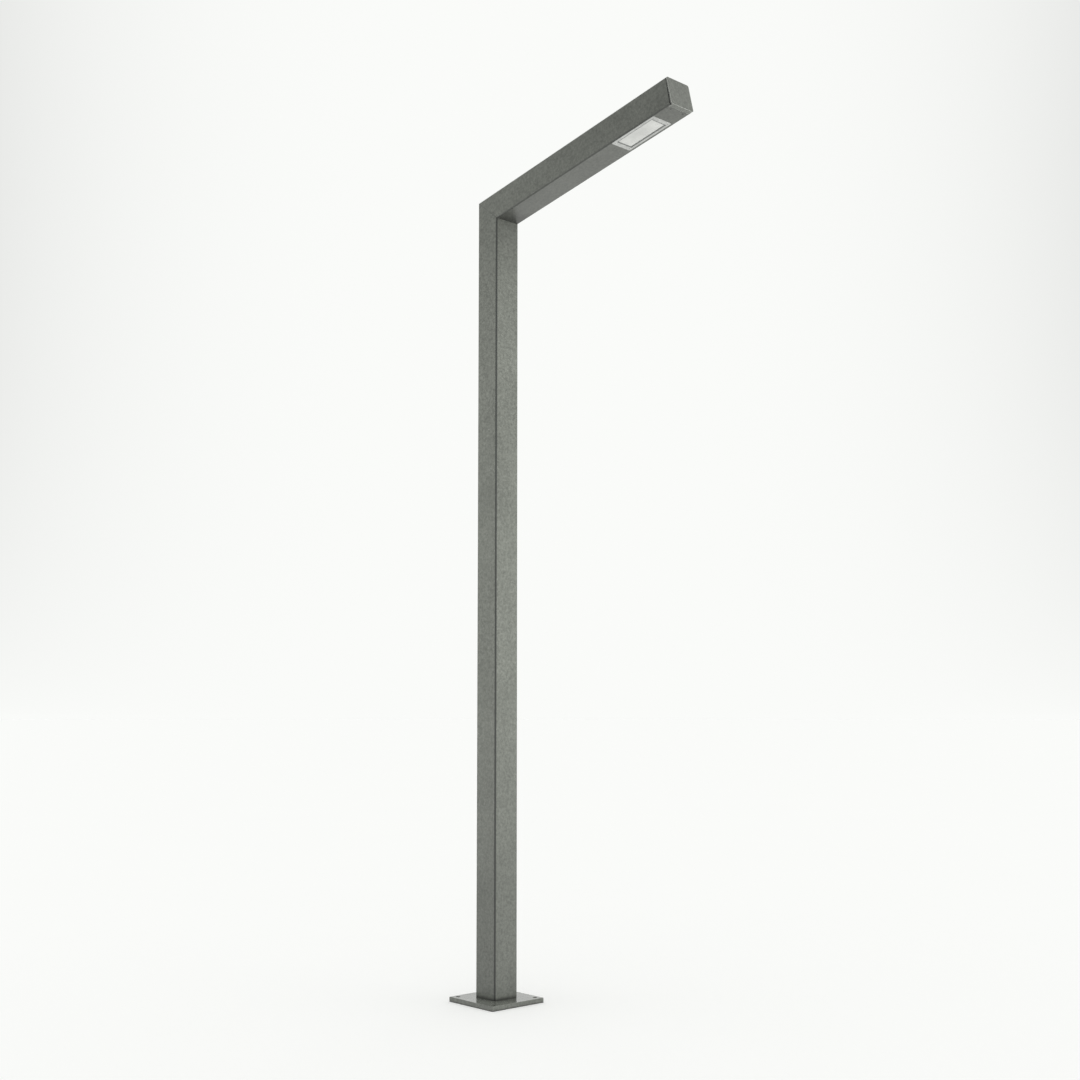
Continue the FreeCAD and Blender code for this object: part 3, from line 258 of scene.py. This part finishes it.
def spangled_metal(name, colour, crystals):
    """Zinc or cast metal with crystals that catch the light differently."""
    s = Shader(name)
    crystal = s.node("ShaderNodeSeparateColor")
    s.put(crystal.inputs[0], s.cells(crystals))
    grain = s.noise(1500.0, 2.0, 0.6)
    tone = s.math("MULTIPLY", s.span(crystal.outputs[0], 0.84, 1.12, 0.0, 1.0), s.span(grain, 0.95, 1.05))
    s.set(Base_Color=s.tint(colour, tone))
    s.set(Roughness=s.span(crystal.outputs[1], 0.34, 0.55, 0.0, 1.0))
    s.set(Normal=s.relief(s.math("ADD", grain, s.noise(70.0, 3.0)), 0.04 * MM, 0.5))
    s.surface.inputs["Metallic"].default_value = 0.9
    return s.material


def moulded_plastic(name, colour, rough=(0.36, 0.5), texture=1400.0, depth=0.03, edge_wear_and_painted_light=1.5, clear=0.0):
    """Plastic with a spark-eroded surface, slight flow marks and lighter rubbed edges."""
    s = Shader(name)
    pits = s.noise(texture, 2.0, 0.6)
    flow = s.noise(24.0, 3.0, 0.6)
    tone = s.math("MULTIPLY", s.span(pits, 0.94, 1.06), s.span(flow, 0.93, 1.05))
    rubbed = s.math("MULTIPLY", s.edges(0.6 * MM), edge_wear_and_painted_light, clamp=True)
    lighter = tuple(c + 0.18 * (1.0 - c) for c in colour)
    s.set(Base_Color=s.blend(rubbed, s.tint(colour, tone), lighter))
    s.set(Roughness=s.span(s.math("MULTIPLY", pits, flow), *rough, 0.12, 0.4))
    s.set(Normal=s.relief(pits, depth * MM, 0.5))
    s.surface.inputs["Transmission Weight"].default_value = clear
    return s.material


def soft_rubber(name, colour, pores=900.0, depth=0.12):
    """Sponge or silicone: matt, pored, dusty on its high spots."""
    s = Shader(name)
    pore = s.cells(pores, "Distance")
    dust = s.noise(30.0, 4.0, 0.7)
    clean = s.tint(colour, s.span(pore, 0.8, 1.2, 0.1, 0.6))
    dusty = tuple(c + 0.06 for c in colour)
    s.set(Base_Color=s.blend(s.span(dust, 0.0, 0.35, 0.45, 0.8), clean, dusty))
    s.set(Roughness=s.span(dust, 0.62, 0.85))
    s.set(Normal=s.relief(pore, depth * MM, 0.6))
    return s.material


def frosted_glass():
    """Opal diffuser: light passes but nothing sharp is seen through it."""
    s = Shader("frosted_glass")
    frost = s.noise(1100.0, 3.0, 0.7)
    haze = s.noise(16.0, 3.0, 0.5)
    tone = s.math("MULTIPLY", s.span(haze, 0.86, 1.06), s.span(frost, 0.97, 1.03))
    s.set(Base_Color=s.tint((0.37, 0.374, 0.362), tone))
    s.set(Roughness=s.span(s.math("MULTIPLY", frost, haze), 0.3, 0.46, 0.12, 0.4))
    s.set(Normal=s.relief(frost, 0.02 * MM, 0.35))
    s.surface.inputs["Transmission Weight"].default_value = 0.15
    s.surface.inputs["IOR"].default_value = 1.49
    return s.material


ARM_TILT = math.radians(9.5)
ARM_DOWN = Vector((math.sin(ARM_TILT), 0, -math.cos(ARM_TILT)))
ARM_HALF_DEPTH = 56.5 * MM
ARM_UNDERSIDE = max(vertex.co.dot(ARM_DOWN) for vertex in NODES["arm_tube"].data.vertices)
# Where the painted shade at a dark arris starts and is full: distances off the bar's two middle planes,
# multiplied (m2).
POST_ARRIS = (0.00317, 0.00334)
ARM_ARRIS = (0.00302, 0.00318)

# Copies of the paint: the plate's, cap's and door's edges carry painted highlights, the post and arm painted
# shade.
PLATE_PAINT = painted_steel(
    "painted_steel_plate", rough=(0.16, 0.28), lacquer=0.4, edge_width=1.2, edge=RUBBED_HIGHLIGHT_EDGE,
    foot_shade_band=(0.0, 0.007),
)
CAP_PAINT = painted_steel("painted_steel_cap", edge_width=2.4, edge=HIGHLIGHT_EDGE)
# The post's face under the arm is painted darker towards the elbow: painted shade.
POST_PAINT = painted_steel(
    "painted_steel_post", arris=((1, 0, 0), 0.0, *POST_ARRIS),
    elbow_shade=("Z", 2.95, 3.22, (1, 0, 0), 0.35, 0.0),
)
# The arm's underside is painted darker all along and most near the elbow: painted shade.
ARM_PAINT = painted_steel(
    "painted_steel_arm", edge_width=4.0, arris=(ARM_DOWN, ARM_UNDERSIDE - ARM_HALF_DEPTH, *ARM_ARRIS),
    elbow_shade=("X", 0.17, 0.06, (0, 0, -1), 0.8, 0.45),
)
PAINT_OF = {
    "base_plate": PLATE_PAINT, "end_cap": CAP_PAINT, "door_leaf": CAP_PAINT, "post_tube": POST_PAINT,
    "arm_tube": ARM_PAINT,
}
MATERIALS = {
    "painted_steel": painted_steel(),
    "stainless": brushed_metal("stainless", (0.56, 0.56, 0.55), (1.0, 1.0, 9.0), (0.2, 0.34), dirt=0.15),
    "zinc_steel": brushed_metal("zinc_steel", (0.52, 0.52, 0.49), (6.0, 1.0, 1.0), (0.28, 0.44)),
    "galvanised_sheet": spangled_metal("galvanised_sheet", (0.46, 0.47, 0.48), 110.0),
    "folded_aluminium": brushed_metal(
        "folded_aluminium", (0.62, 0.62, 0.62), (1.0, 14.0, 14.0), (0.3, 0.46)
    ),
    "anodised_aluminium": brushed_metal(
        "anodised_aluminium", (0.34, 0.345, 0.335), (1.0, 3.0, 3.0), (0.4, 0.56), metallic=0.35, dirt=0.3
    ),
    "driver_aluminium": spangled_metal("driver_aluminium", (0.62, 0.62, 0.62), 700.0),
    "aluminium_rivet": brushed_metal("aluminium_rivet", (0.62, 0.62, 0.62), (1.0, 1.0, 1.0), (0.26, 0.4)),
    "copper_alloy": brushed_metal("copper_alloy", (0.72, 0.42, 0.24), (1.0, 1.0, 8.0), (0.22, 0.36)),
    "brass_stud": brushed_metal("brass_stud", (0.72, 0.55, 0.26), (8.0, 1.0, 1.0), (0.2, 0.34)),
    "frosted_glass": frosted_glass(),
    "clear_plastic": moulded_plastic(
        "clear_plastic", (0.88, 0.89, 0.88), (0.05, 0.12), 300.0, 0.01, edge_wear_and_painted_light=0.2, clear=0.9
    ),
    "board_white": moulded_plastic("board_white", (0.80, 0.80, 0.78), (0.3, 0.42), 600.0, 0.02, 0.5),
    "led_yellow": moulded_plastic("led_yellow", (0.80, 0.62, 0.14), (0.3, 0.4), 3000.0, 0.02, 0.3),
    "white_plastic": moulded_plastic("white_plastic", (0.80, 0.80, 0.78), edge_wear_and_painted_light=0.5),
    "grey_plastic": moulded_plastic("grey_plastic", (0.42, 0.43, 0.44)),
    "black_plastic": moulded_plastic("black_plastic", (0.03, 0.03, 0.03), edge_wear_and_painted_light=0.8),
    "terminal_beige": moulded_plastic("terminal_beige", (0.52, 0.47, 0.39), (0.4, 0.56)),
    "ceramic_white": moulded_plastic(
        "ceramic_white", (0.82, 0.80, 0.76), (0.14, 0.24), 500.0, 0.02, edge_wear_and_painted_light=0.2
    ),
    "black_rubber": soft_rubber("black_rubber", (0.018, 0.018, 0.018)),
    "dark_rubber": soft_rubber("dark_rubber", (0.085, 0.088, 0.086), 1400.0, 0.06),
    "cable_black": moulded_plastic("cable_black", (0.026, 0.026, 0.028), (0.4, 0.55), 800.0, 0.04, 0.2),
    "wire_brown": moulded_plastic("wire_brown", (0.16, 0.07, 0.03), (0.3, 0.42), 900.0, 0.02, 0.2),
    "wire_green": moulded_plastic("wire_green", (0.10, 0.36, 0.08), (0.3, 0.42), 900.0, 0.02, 0.2),
}

# Edge radii in millimetres for the CAD nodes whose edges would otherwise be knife sharp.
EDGE_RADIUS = {
    "base_plate": 0.5, "arm_tube": 0.35, "end_cap": 0.6, "door_leaf": 0.6, "module_bezel": 0.35,
    "hinge_post_halves": 0.4, "hinge_door_halves": 0.4, "hinge_pins": 0.4, "lock_barrel": 0.4,
    "lock_cam": 0.3,
    "fuse_holder": 0.5, "fuse_carrier": 0.4, "terminal_block": 0.4, "cable_clamp": 0.6, "gear_board": 0.4,
    "driver_housing": 0.6, "driver_glands": 0.5, "tray_clips": 0.5, "board_connector": 0.4, "heat_sink": 0.2,
    "cartridge_fuse": 0.3, "door_frame": 0.4, "post_tube": 0.35,
}


def soften(node, radius):
    """Round a CAD node's sharp edges with modifiers, which leave its own vertices alone."""
    weld = node.modifiers.new("weld", "WELD")
    weld.merge_threshold = 0.01 * MM
    bevel = node.modifiers.new("bevel", "BEVEL")
    bevel.width = radius * MM
    bevel.segments = 2
    bevel.limit_method = "ANGLE"
    bevel.angle_limit = math.radians(40)
    bevel.use_clamp_overlap = True
    smooth = node.modifiers.new("normals", "WEIGHTED_NORMAL")
    smooth.keep_sharp = True
    smooth.weight = 100


for name, node in NODES.items():
    node.data.materials.clear()
    node.data.materials.append(PAINT_OF.get(name, MATERIALS[SLOT_OF[name]]))
    if name in EDGE_RADIUS:
        soften(node, EDGE_RADIUS[name])


# ---- turned and pressed details ----
SEGMENTS = 48
OUT_OF_BOARD = Vector((-1, 0, 0))
INTO_POST = Vector((1, 0, 0))


def hexagon(across_flats):
    return lambda angle: across_flats / 2 / math.cos((angle + math.pi / 6) % (math.pi / 3) - math.pi / 6)


def six_lobed(radius):
    return lambda angle: radius * (1 + 0.13 * math.cos(6 * angle))


def islands(node):
    """A node's separate solids, each as its corner points."""
    mesh = NODES[node].data
    point_at = [tuple(round(value, 6) for value in vertex.co) for vertex in mesh.vertices]
    group = {point: point for point in point_at}

    def root(point):
        while group[point] != point:
            group[point] = group[group[point]]
            point = group[point]
        return point

    for face in mesh.polygons:
        first = root(point_at[face.vertices[0]])
        for index in face.vertices[1:]:
            group[root(point_at[index])] = first
    found = {}
    for point in group:
        found.setdefault(root(point), []).append(Vector(point))
    return list(found.values())


def ends(node, direction):
    """For each solid of a node: the centre of its end face in a direction, and its length that way."""
    found = []
    for points in islands(node):
        reach = [point.dot(direction) for point in points]
        tip = [point for point, along in zip(points, reach) if along > max(reach) - 0.02 * MM]
        low, high = (Vector(pick(values) for values in zip(*tip)) for pick in (min, max))
        found.append(((low + high) / 2, max(reach) - min(reach)))
    return found


def facing(place, direction):
    """The matrix that stands a turned shape on a point, its Z along a direction."""
    return Matrix.Translation(place) @ direction.to_track_quat("Z", "Y").to_matrix().to_4x4()


def turned(name, body, finish, rings, places, hollow=False, stands_for=(), material=None):
    """A lathe shape at each place.

    Rings are (height, radius) in millimetres; a radius may vary with the angle.
    """
    shape = bmesh.new()
    for place in places:
        loops = []
        for height, radius in rings:
            loop = []
            for step in range(SEGMENTS):
                angle = 2 * math.pi * step / SEGMENTS
                reach = radius(angle) if callable(radius) else radius
                spot = Vector((reach * math.cos(angle), reach * math.sin(angle), height)) * MM
                loop.append(shape.verts.new(place @ spot))
            loops.append(loop)
        if hollow:
            loops.append(loops[0])
        else:
            shape.faces.new(loops[0])
            shape.faces.new(reversed(loops[-1]))
        for one, two in zip(loops, loops[1:]):
            for step in range(SEGMENTS):
                after = (step + 1) % SEGMENTS
                shape.faces.new((one[step], two[step], two[after], one[after]))
    return finished(name, body, finish, shape, stands_for, material)


def finished(name, body, finish, shape, stands_for=(), material=None):
    """Turn a bmesh into a piece that rides on a body."""
    bmesh.ops.recalc_face_normals(shape, faces=shape.faces)
    mesh = bpy.data.meshes.new(name)
    shape.to_mesh(mesh)
    shape.free()
    mesh.shade_smooth()
    mesh.set_sharp_from_angle(angle=math.radians(32))
    mesh.materials.append(material or MATERIALS[finish])
    piece = bpy.data.objects.new(name, mesh)
    bpy.context.scene.collection.objects.link(piece)
    if stands_for:
        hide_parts(*stands_for)
    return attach(piece, body)


def pressed(name, body, finish, boxes, radius, stands_for=(), material=None):
    """Small blocks with rounded edges, each given by its lowest and highest corner in millimetres."""
    shape = bmesh.new()
    for low, high in boxes:
        made = bmesh.ops.create_cube(shape, size=1.0)["verts"]
        middle = (Vector(low) + Vector(high)) / 2
        size = Vector(high) - Vector(low)
        for vertex in made:
            vertex.co = Vector(c + s * v for c, s, v in zip(middle, size, vertex.co)) * MM
    bmesh.ops.bevel(
        shape, geom=list(shape.edges), offset=radius * MM, segments=3, profile=0.5, affect="EDGES"
    )
    return finished(name, body, finish, shape, stands_for, material)


def socket_screw(head, shank, length, socket):
    """Countersunk screw with a six-lobed socket, from the socket's floor round to the tip."""
    lobes = six_lobed(socket)
    return [
        (-1.5, six_lobed(socket * 0.8)), (-0.12, lobes), (0.0, six_lobed(socket * 1.08)), (0.0, head - 0.25),
        (-0.15, head), (shank - head, shank), (0.6 - length, shank), (-length, shank * 0.7),
    ]


def nut(across_flats, bore, height):
    """Hexagon nut, chamfered on both faces; its seat is at 0."""
    face = across_flats / 2 * 0.94
    chamfer = across_flats * 0.05
    flats = hexagon(across_flats)
    return [
        (0.3, bore), (0.0, bore + 0.3), (0.0, face), (chamfer, flats), (height - chamfer, flats),
        (height, face), (height, bore + 0.4), (height - 0.4, bore),
    ]


def threaded(radius, length, pitch, threads):
    """Stud seen from its free end at 0, threaded over its first stretch."""
    rings = [(0.0, radius * 0.72)]
    for turn in range(threads):
        rings += [(-pitch * (turn + 0.25), radius), (-pitch * (turn + 0.75), radius - 0.5 * pitch)]
    return rings + [(-pitch * threads - 0.4, radius), (-length, radius)]


def in_place_of(node, name, body, finish, rings, outward, sunk=0.0):
    """Turned pieces for a node's solids, on their outward end faces. Only nuts are sunk, and they are hollow."""
    places = [facing(place - outward * sunk * MM, outward) for place, _ in ends(node, outward)]
    turned(name, body, finish, rings, places, hollow=sunk > 0, stands_for=[node])


RIVET = [
    (-6.0, 2.0), (-1.2, 2.0), (-1.2, 3.5), (-0.8, 3.4), (-0.25, 2.6), (0.0, 1.5), (-0.05, 0.9), (-0.5, 0.8),
]
CAM_SCREW = [
    (-0.9, six_lobed(1.6)), (0.0, six_lobed(1.7)), (0.0, 3.4), (-0.5, 4.1), (-2.6, 4.2), (-3.0, 4.0),
    (-3.0, 1.5), (-11.0, 1.5),
]


def make_fasteners():
    bezel_screw = socket_screw(3.8, 2.0, 26.0, 1.7)
    cap_screw = socket_screw(4.5, 2.5, 12.0, 2.0)
    in_place_of("bezel_screws", "bezel_screw_heads", "post", "stainless", bezel_screw, ARM_DOWN)
    in_place_of("end_cap_screws", "cap_screw_heads", "post", "painted_steel", cap_screw, ARM_DOWN)
    board_nut = nut(10.0, 3.05, 5.0)
    board_stud = threaded(3.0, 26.0, 1.0, 8)
    in_place_of("board_nuts", "board_nut_set", "post", "zinc_steel", board_nut, OUT_OF_BOARD, 5.0)
    in_place_of("board_studs", "board_stud_set", "post", "zinc_steel", board_stud, OUT_OF_BOARD)
    earth_nut = nut(13.0, 4.05, 6.5)
    earth_stud = threaded(4.0, 45.0, 1.25, 30)
    in_place_of("earth_nuts", "earth_nut_set", "post", "brass_stud", earth_nut, OUT_OF_BOARD, 6.5)
    in_place_of("earth_stud", "earth_stud_threaded", "post", "brass_stud", earth_stud, OUT_OF_BOARD)
    lock_nut = nut(20.0, 8.05, 3.5)
    in_place_of("lock_nut", "lock_nut_hexagon", "door", "zinc_steel", lock_nut, INTO_POST, 3.5)
    in_place_of("rail_rivets", "rivet_set", "post", "aluminium_rivet", RIVET, OUT_OF_BOARD)
    in_place_of("cam_screw", "cam_screw_head", "lock", "zinc_steel", CAM_SCREW, INTO_POST)


# Where the details on the gear go, in millimetres.
GEAR_FACE_X = -6.0
SURGE_FACE_X = -16.0
CARRIER_FACE_X = -20.0
TERMINAL_FACE_X = -2.0
CLAMP_FACE_X = -3.0
FUSE_Y = 14.0
SURGE_Y = -14.0
GEAR_TERMINAL_Z = (703.5, 766.5)
GEAR_SEAM_Z = (697.5, 772.5)
SURGE_RIB_Z = (719.0, 721.5, 724.0, 726.5)
STATUS_Z = 748.0
CARRIER_RIB_Z = (748.2, 750.0, 751.8)
PARTITION_Y = (-17.4, -9.0, 0.0, 9.0, 17.4)
PARTITION_Z = (551.0, 593.0)
MARKER_Y = (-13.5, -4.5, 4.5, 13.5)
MARKER_Z = (566.0, 578.0)
CLAMP_SCREW_Z = 790.0
CLAMP_SCREW_OFFSET = 5.8
STATUS_GREEN = moulded_plastic("status_green", (0.04, 0.30, 0.09), (0.08, 0.16), 300.0, 0.01, 0.3)


def slab(x, y, z):
    """A box's lowest and highest corners from its three (low, high) ranges."""
    return tuple(zip(x, y, z))


def about(middle, below, above=None):
    return (middle - below, middle + (below if above is None else above))


def make_gear_details():
    spots = [(GEAR_FACE_X, y, z) for y in (FUSE_Y, SURGE_Y) for z in GEAR_TERMINAL_Z]
    places = [facing(Vector(spot) * MM, OUT_OF_BOARD) for spot in spots]
    collar = [(-0.4, 3.0), (0.0, 3.8), (0.45, 3.5), (0.6, 3.3), (0.6, 3.0), (0.1, 2.9)]
    turned("gear_terminal_collars", "post", "grey_plastic", collar, places, hollow=True)
    screw = [(0.05, six_lobed(1.2)), (0.4, six_lobed(1.35)), (0.4, 2.5), (0.25, 2.75), (-0.3, 2.75)]
    turned("gear_terminal_screws", "post", "zinc_steel", screw, places)
    ribs = [slab(about(SURGE_FACE_X, 1.0, 0.4), about(SURGE_Y, 7.5), about(z, 0.5)) for z in SURGE_RIB_Z]
    pressed("surge_grip_ribs", "post", "grey_plastic", ribs, 0.3)
    window = [slab(about(SURGE_FACE_X, 0.5), about(SURGE_Y, 3.0), about(STATUS_Z, 2.0))]
    pressed("surge_status_window", "post", "grey_plastic", window, 0.35, material=STATUS_GREEN)
    raised = about(SURGE_FACE_X, 0.7, 0.3)
    rim = [slab(raised, about(SURGE_Y, 4.2), about(STATUS_Z + side * 2.7, 0.5)) for side in (-1, 1)]
    rim += [slab(raised, about(SURGE_Y + side * 3.7, 0.5), about(STATUS_Z, 3.2)) for side in (-1, 1)]
    pressed("surge_window_frame", "post", "grey_plastic", rim, 0.2)
    seam_x = about(GEAR_FACE_X, 0.35, 0.2)
    seams = [slab(seam_x, about(y, 8.8), about(z, 0.25)) for y in (FUSE_Y, SURGE_Y) for z in GEAR_SEAM_Z]
    pressed("gear_edge_ribs", "post", "grey_plastic", seams, 0.15)
    grip = [slab(about(CARRIER_FACE_X, 0.6, 0.4), about(FUSE_Y, 4.6), about(z, 0.4)) for z in CARRIER_RIB_Z]
    pressed("carrier_grip_ribs", "fuse_drawer", "black_plastic", grip, 0.25)
    walls = [slab(about(TERMINAL_FACE_X, 1.4, 0.4), about(y, 0.6), PARTITION_Z) for y in PARTITION_Y]
    pressed("terminal_partitions", "post", "terminal_beige", walls, 0.3)
    marker_x = about(TERMINAL_FACE_X, 0.7, 0.4)
    markers = [slab(marker_x, about(y, 2.6), about(z, 1.6)) for y in MARKER_Y for z in MARKER_Z]
    pressed("terminal_markers", "post", "white_plastic", markers, 0.35)
    screw_y = about(FUSE_Y, CLAMP_SCREW_OFFSET)
    heads = [facing(Vector((CLAMP_FACE_X, y, CLAMP_SCREW_Z)) * MM, OUT_OF_BOARD) for y in screw_y]
    pan = [(0.25, six_lobed(0.8)), (0.9, six_lobed(0.85)), (0.95, 1.3), (0.6, 1.8), (0.0, 1.9), (-0.5, 1.9)]
    turned("clamp_screws", "post", "zinc_steel", pan, heads)


make_fasteners()
make_gear_details()


# ---- floor, light and camera ----
def eased(value, low, high):
    t = min(1.0, max(0.0, (value - low) / (high - low)))
    return t * t * (3 - 2 * t)


def floor_light(steps=90):
    """What the sky sends an open floor, with 1 for a sky as bright as the backdrop all over."""
    total = 0.0
    for ring in range(steps):
        height = (ring + 0.5) / steps
        reach = math.sqrt(1 - height * height)
        for turn in range(steps):
            ahead = reach * math.cos(2 * math.pi * turn / steps)
            low = SKY_LOW + (SKY_BEHIND - SKY_LOW) * eased(ahead, BEHIND_FROM, BEHIND_TO)
            strength = low + (SKY_HIGH - low) * eased(height, SKY_FROM, SKY_TO)
            total += strength * 2 * height / steps**2
    return total


def make_floor():
    s = Shader("floor")
    s.set(Base_Color=s.tint((FLOOR_ALBEDO,) * 3, s.span(s.noise(0.8, 2.0), 0.998, 1.002)))
    s.set(Roughness=s.span(s.noise(3.0, 2.0), 0.85, 0.95))
    s.surface.inputs["Specular IOR Level"].default_value = 0.0
    s.surface.inputs["Emission Color"].default_value = (*BACKDROP, 1.0)
    s.surface.inputs["Emission Strength"].default_value = 1.0 - FLOOR_ALBEDO * floor_light()
    mesh = bpy.data.meshes.new("floor")
    shape = bmesh.new()
    bmesh.ops.create_circle(shape, cap_ends=True, radius=FLOOR_RADIUS, segments=96)
    shape.to_mesh(mesh)
    shape.free()
    mesh.materials.append(s.material)
    floor = bpy.data.objects.new("floor", mesh)
    bpy.context.scene.collection.objects.link(floor)


def math_node(tree, operation, *values):
    made = tree.nodes.new("ShaderNodeMath")
    made.operation = operation
    for socket, value in zip(made.inputs, values):
        if isinstance(value, bpy.types.NodeSocket):
            tree.links.new(value, socket)
        else:
            socket.default_value = value
    return made.outputs[0]


def eased_node(tree, value, start, end, low, high):
    made = tree.nodes.new("ShaderNodeMapRange")
    made.interpolation_type = "SMOOTHSTEP"
    tree.links.new(value, made.inputs["Value"])
    made.inputs["From Min"].default_value = start
    made.inputs["From Max"].default_value = end
    if isinstance(low, bpy.types.NodeSocket):
        tree.links.new(low, made.inputs["To Min"])
    else:
        made.inputs["To Min"].default_value = low
    made.inputs["To Max"].default_value = high
    return made.outputs[0]


def make_world():
    """The backdrop: white to the eye, shaded towards the main view's upper corners.

    The light it gives is stronger from above than from the sides, and full behind the object.
    """
    world = bpy.data.worlds.new("studio")
    world.use_nodes = True
    tree = world.node_tree
    tree.nodes.clear()
    link = tree.links.new
    place = tree.nodes.new("ShaderNodeTexCoord")
    split = tree.nodes.new("ShaderNodeSeparateXYZ")
    link(place.outputs["Generated"], split.inputs[0])
    ahead = tree.nodes.new("ShaderNodeVectorMath")
    ahead.operation = "DOT_PRODUCT"
    link(place.outputs["Generated"], ahead.inputs[0])
    ahead.inputs[1].default_value = BACKDROP_AHEAD
    low = eased_node(tree, ahead.outputs["Value"], BEHIND_FROM, BEHIND_TO, SKY_LOW, SKY_BEHIND)
    lift = eased_node(tree, split.outputs["Z"], SKY_FROM, SKY_TO, low, SKY_HIGH)
    across = tree.nodes.new("ShaderNodeVectorMath")
    across.operation = "DOT_PRODUCT"
    link(place.outputs["Generated"], across.inputs[0])
    across.inputs[1].default_value = BACKDROP_RIGHT
    squared = math_node(tree, "MULTIPLY", across.outputs["Value"], across.outputs["Value"])
    rise = math_node(tree, "MINIMUM", math_node(tree, "MAXIMUM", split.outputs["Z"], 0.0), EDGE_SHADE_TOP)
    curve = math_node(tree, "MULTIPLY", math_node(tree, "POWER", rise, EDGE_SHADE_CURVE), EDGE_SHADE)
    shade = math_node(tree, "MULTIPLY", math_node(tree, "MULTIPLY", squared, squared), curve)
    shade = math_node(tree, "MINIMUM", shade, EDGE_SHADE_LIMIT)
    near_front = eased_node(tree, ahead.outputs["Value"], EDGE_SHADE_FROM, EDGE_SHADE_TO, 0.0, 1.0)
    shade = math_node(tree, "MULTIPLY", shade, near_front)
    seen = math_node(tree, "SUBTRACT", 1.0, shade)
    eye = tree.nodes.new("ShaderNodeLightPath")
    strength = tree.nodes.new("ShaderNodeMix")
    link(eye.outputs["Is Camera Ray"], strength.inputs["Factor"])
    link(lift, strength.inputs["A"])
    link(seen, strength.inputs["B"])
    sky = tree.nodes.new("ShaderNodeBackground")
    sky.inputs["Color"].default_value = (*BACKDROP, 1.0)
    link(strength.outputs["Result"], sky.inputs["Strength"])
    out = tree.nodes.new("ShaderNodeOutputWorld")
    link(sky.outputs[0], out.inputs["Surface"])
    bpy.context.scene.world = world


def softbox(name, place, target, size, watts):
    """A soft lamp that lights the object only and shows neither to the camera nor in reflections."""
    data = bpy.data.lights.new(name, "AREA")
    data.shape = "RECTANGLE"
    data.size, data.size_y = size
    data.energy = watts
    data.spread = SOFTBOX_SPREAD
    data.color = SOFTBOX_COLOUR
    lamp = bpy.data.objects.new(name, data)
    lamp.location = place
    lamp.rotation_euler = (Vector(target) - Vector(place)).to_track_quat("-Z", "Y").to_euler()
    lamp.visible_camera = False
    lamp.visible_glossy = False
    bpy.context.scene.collection.objects.link(lamp)
    lamp.light_linking.receiver_collection = OBJECT_ONLY


SOFTBOX_PLACE = {"left": (-1.9, -2.3), "right": (3.1, 1.36)}
SOFTBOX_WIDTH = 0.8
SOFTBOX_SPREAD = math.radians(100)
SOFTBOX_COLOUR = (1.0, 1.0, 0.985)
OBJECT_ONLY = bpy.data.collections.new("object_only")
for piece in [thing for thing in bpy.context.scene.objects if thing.type == "MESH"]:
    OBJECT_ONLY.objects.link(piece)
make_floor()
make_world()
for side, level, height, watts in (
    ("left", 2.35, 1.3, 49.0),
    ("left", 0.75, 1.3, 20.0),
    ("right", 2.2, 1.6, 77.0),
    ("right", 0.8, 1.2, 28.0),
):
    x, y = SOFTBOX_PLACE[side]
    softbox(f"softbox_{side}_{level}", (x, y, level), (0, 0, level), (SOFTBOX_WIDTH, height), watts)

bpy.context.scene.view_settings.view_transform = "Standard"
camera_data = bpy.data.cameras.new("camera")
camera_data.lens = CAMERA_LENS
camera_data.sensor_width = CAMERA_SENSOR
camera_data.shift_y = CAMERA_SHIFT_Y
camera = bpy.data.objects.new("camera", camera_data)
camera.location = CAMERA_PLACE
camera.rotation_euler = [math.radians(angle) for angle in CAMERA_TURN]
bpy.context.scene.collection.objects.link(camera)
bpy.context.scene.camera = camera
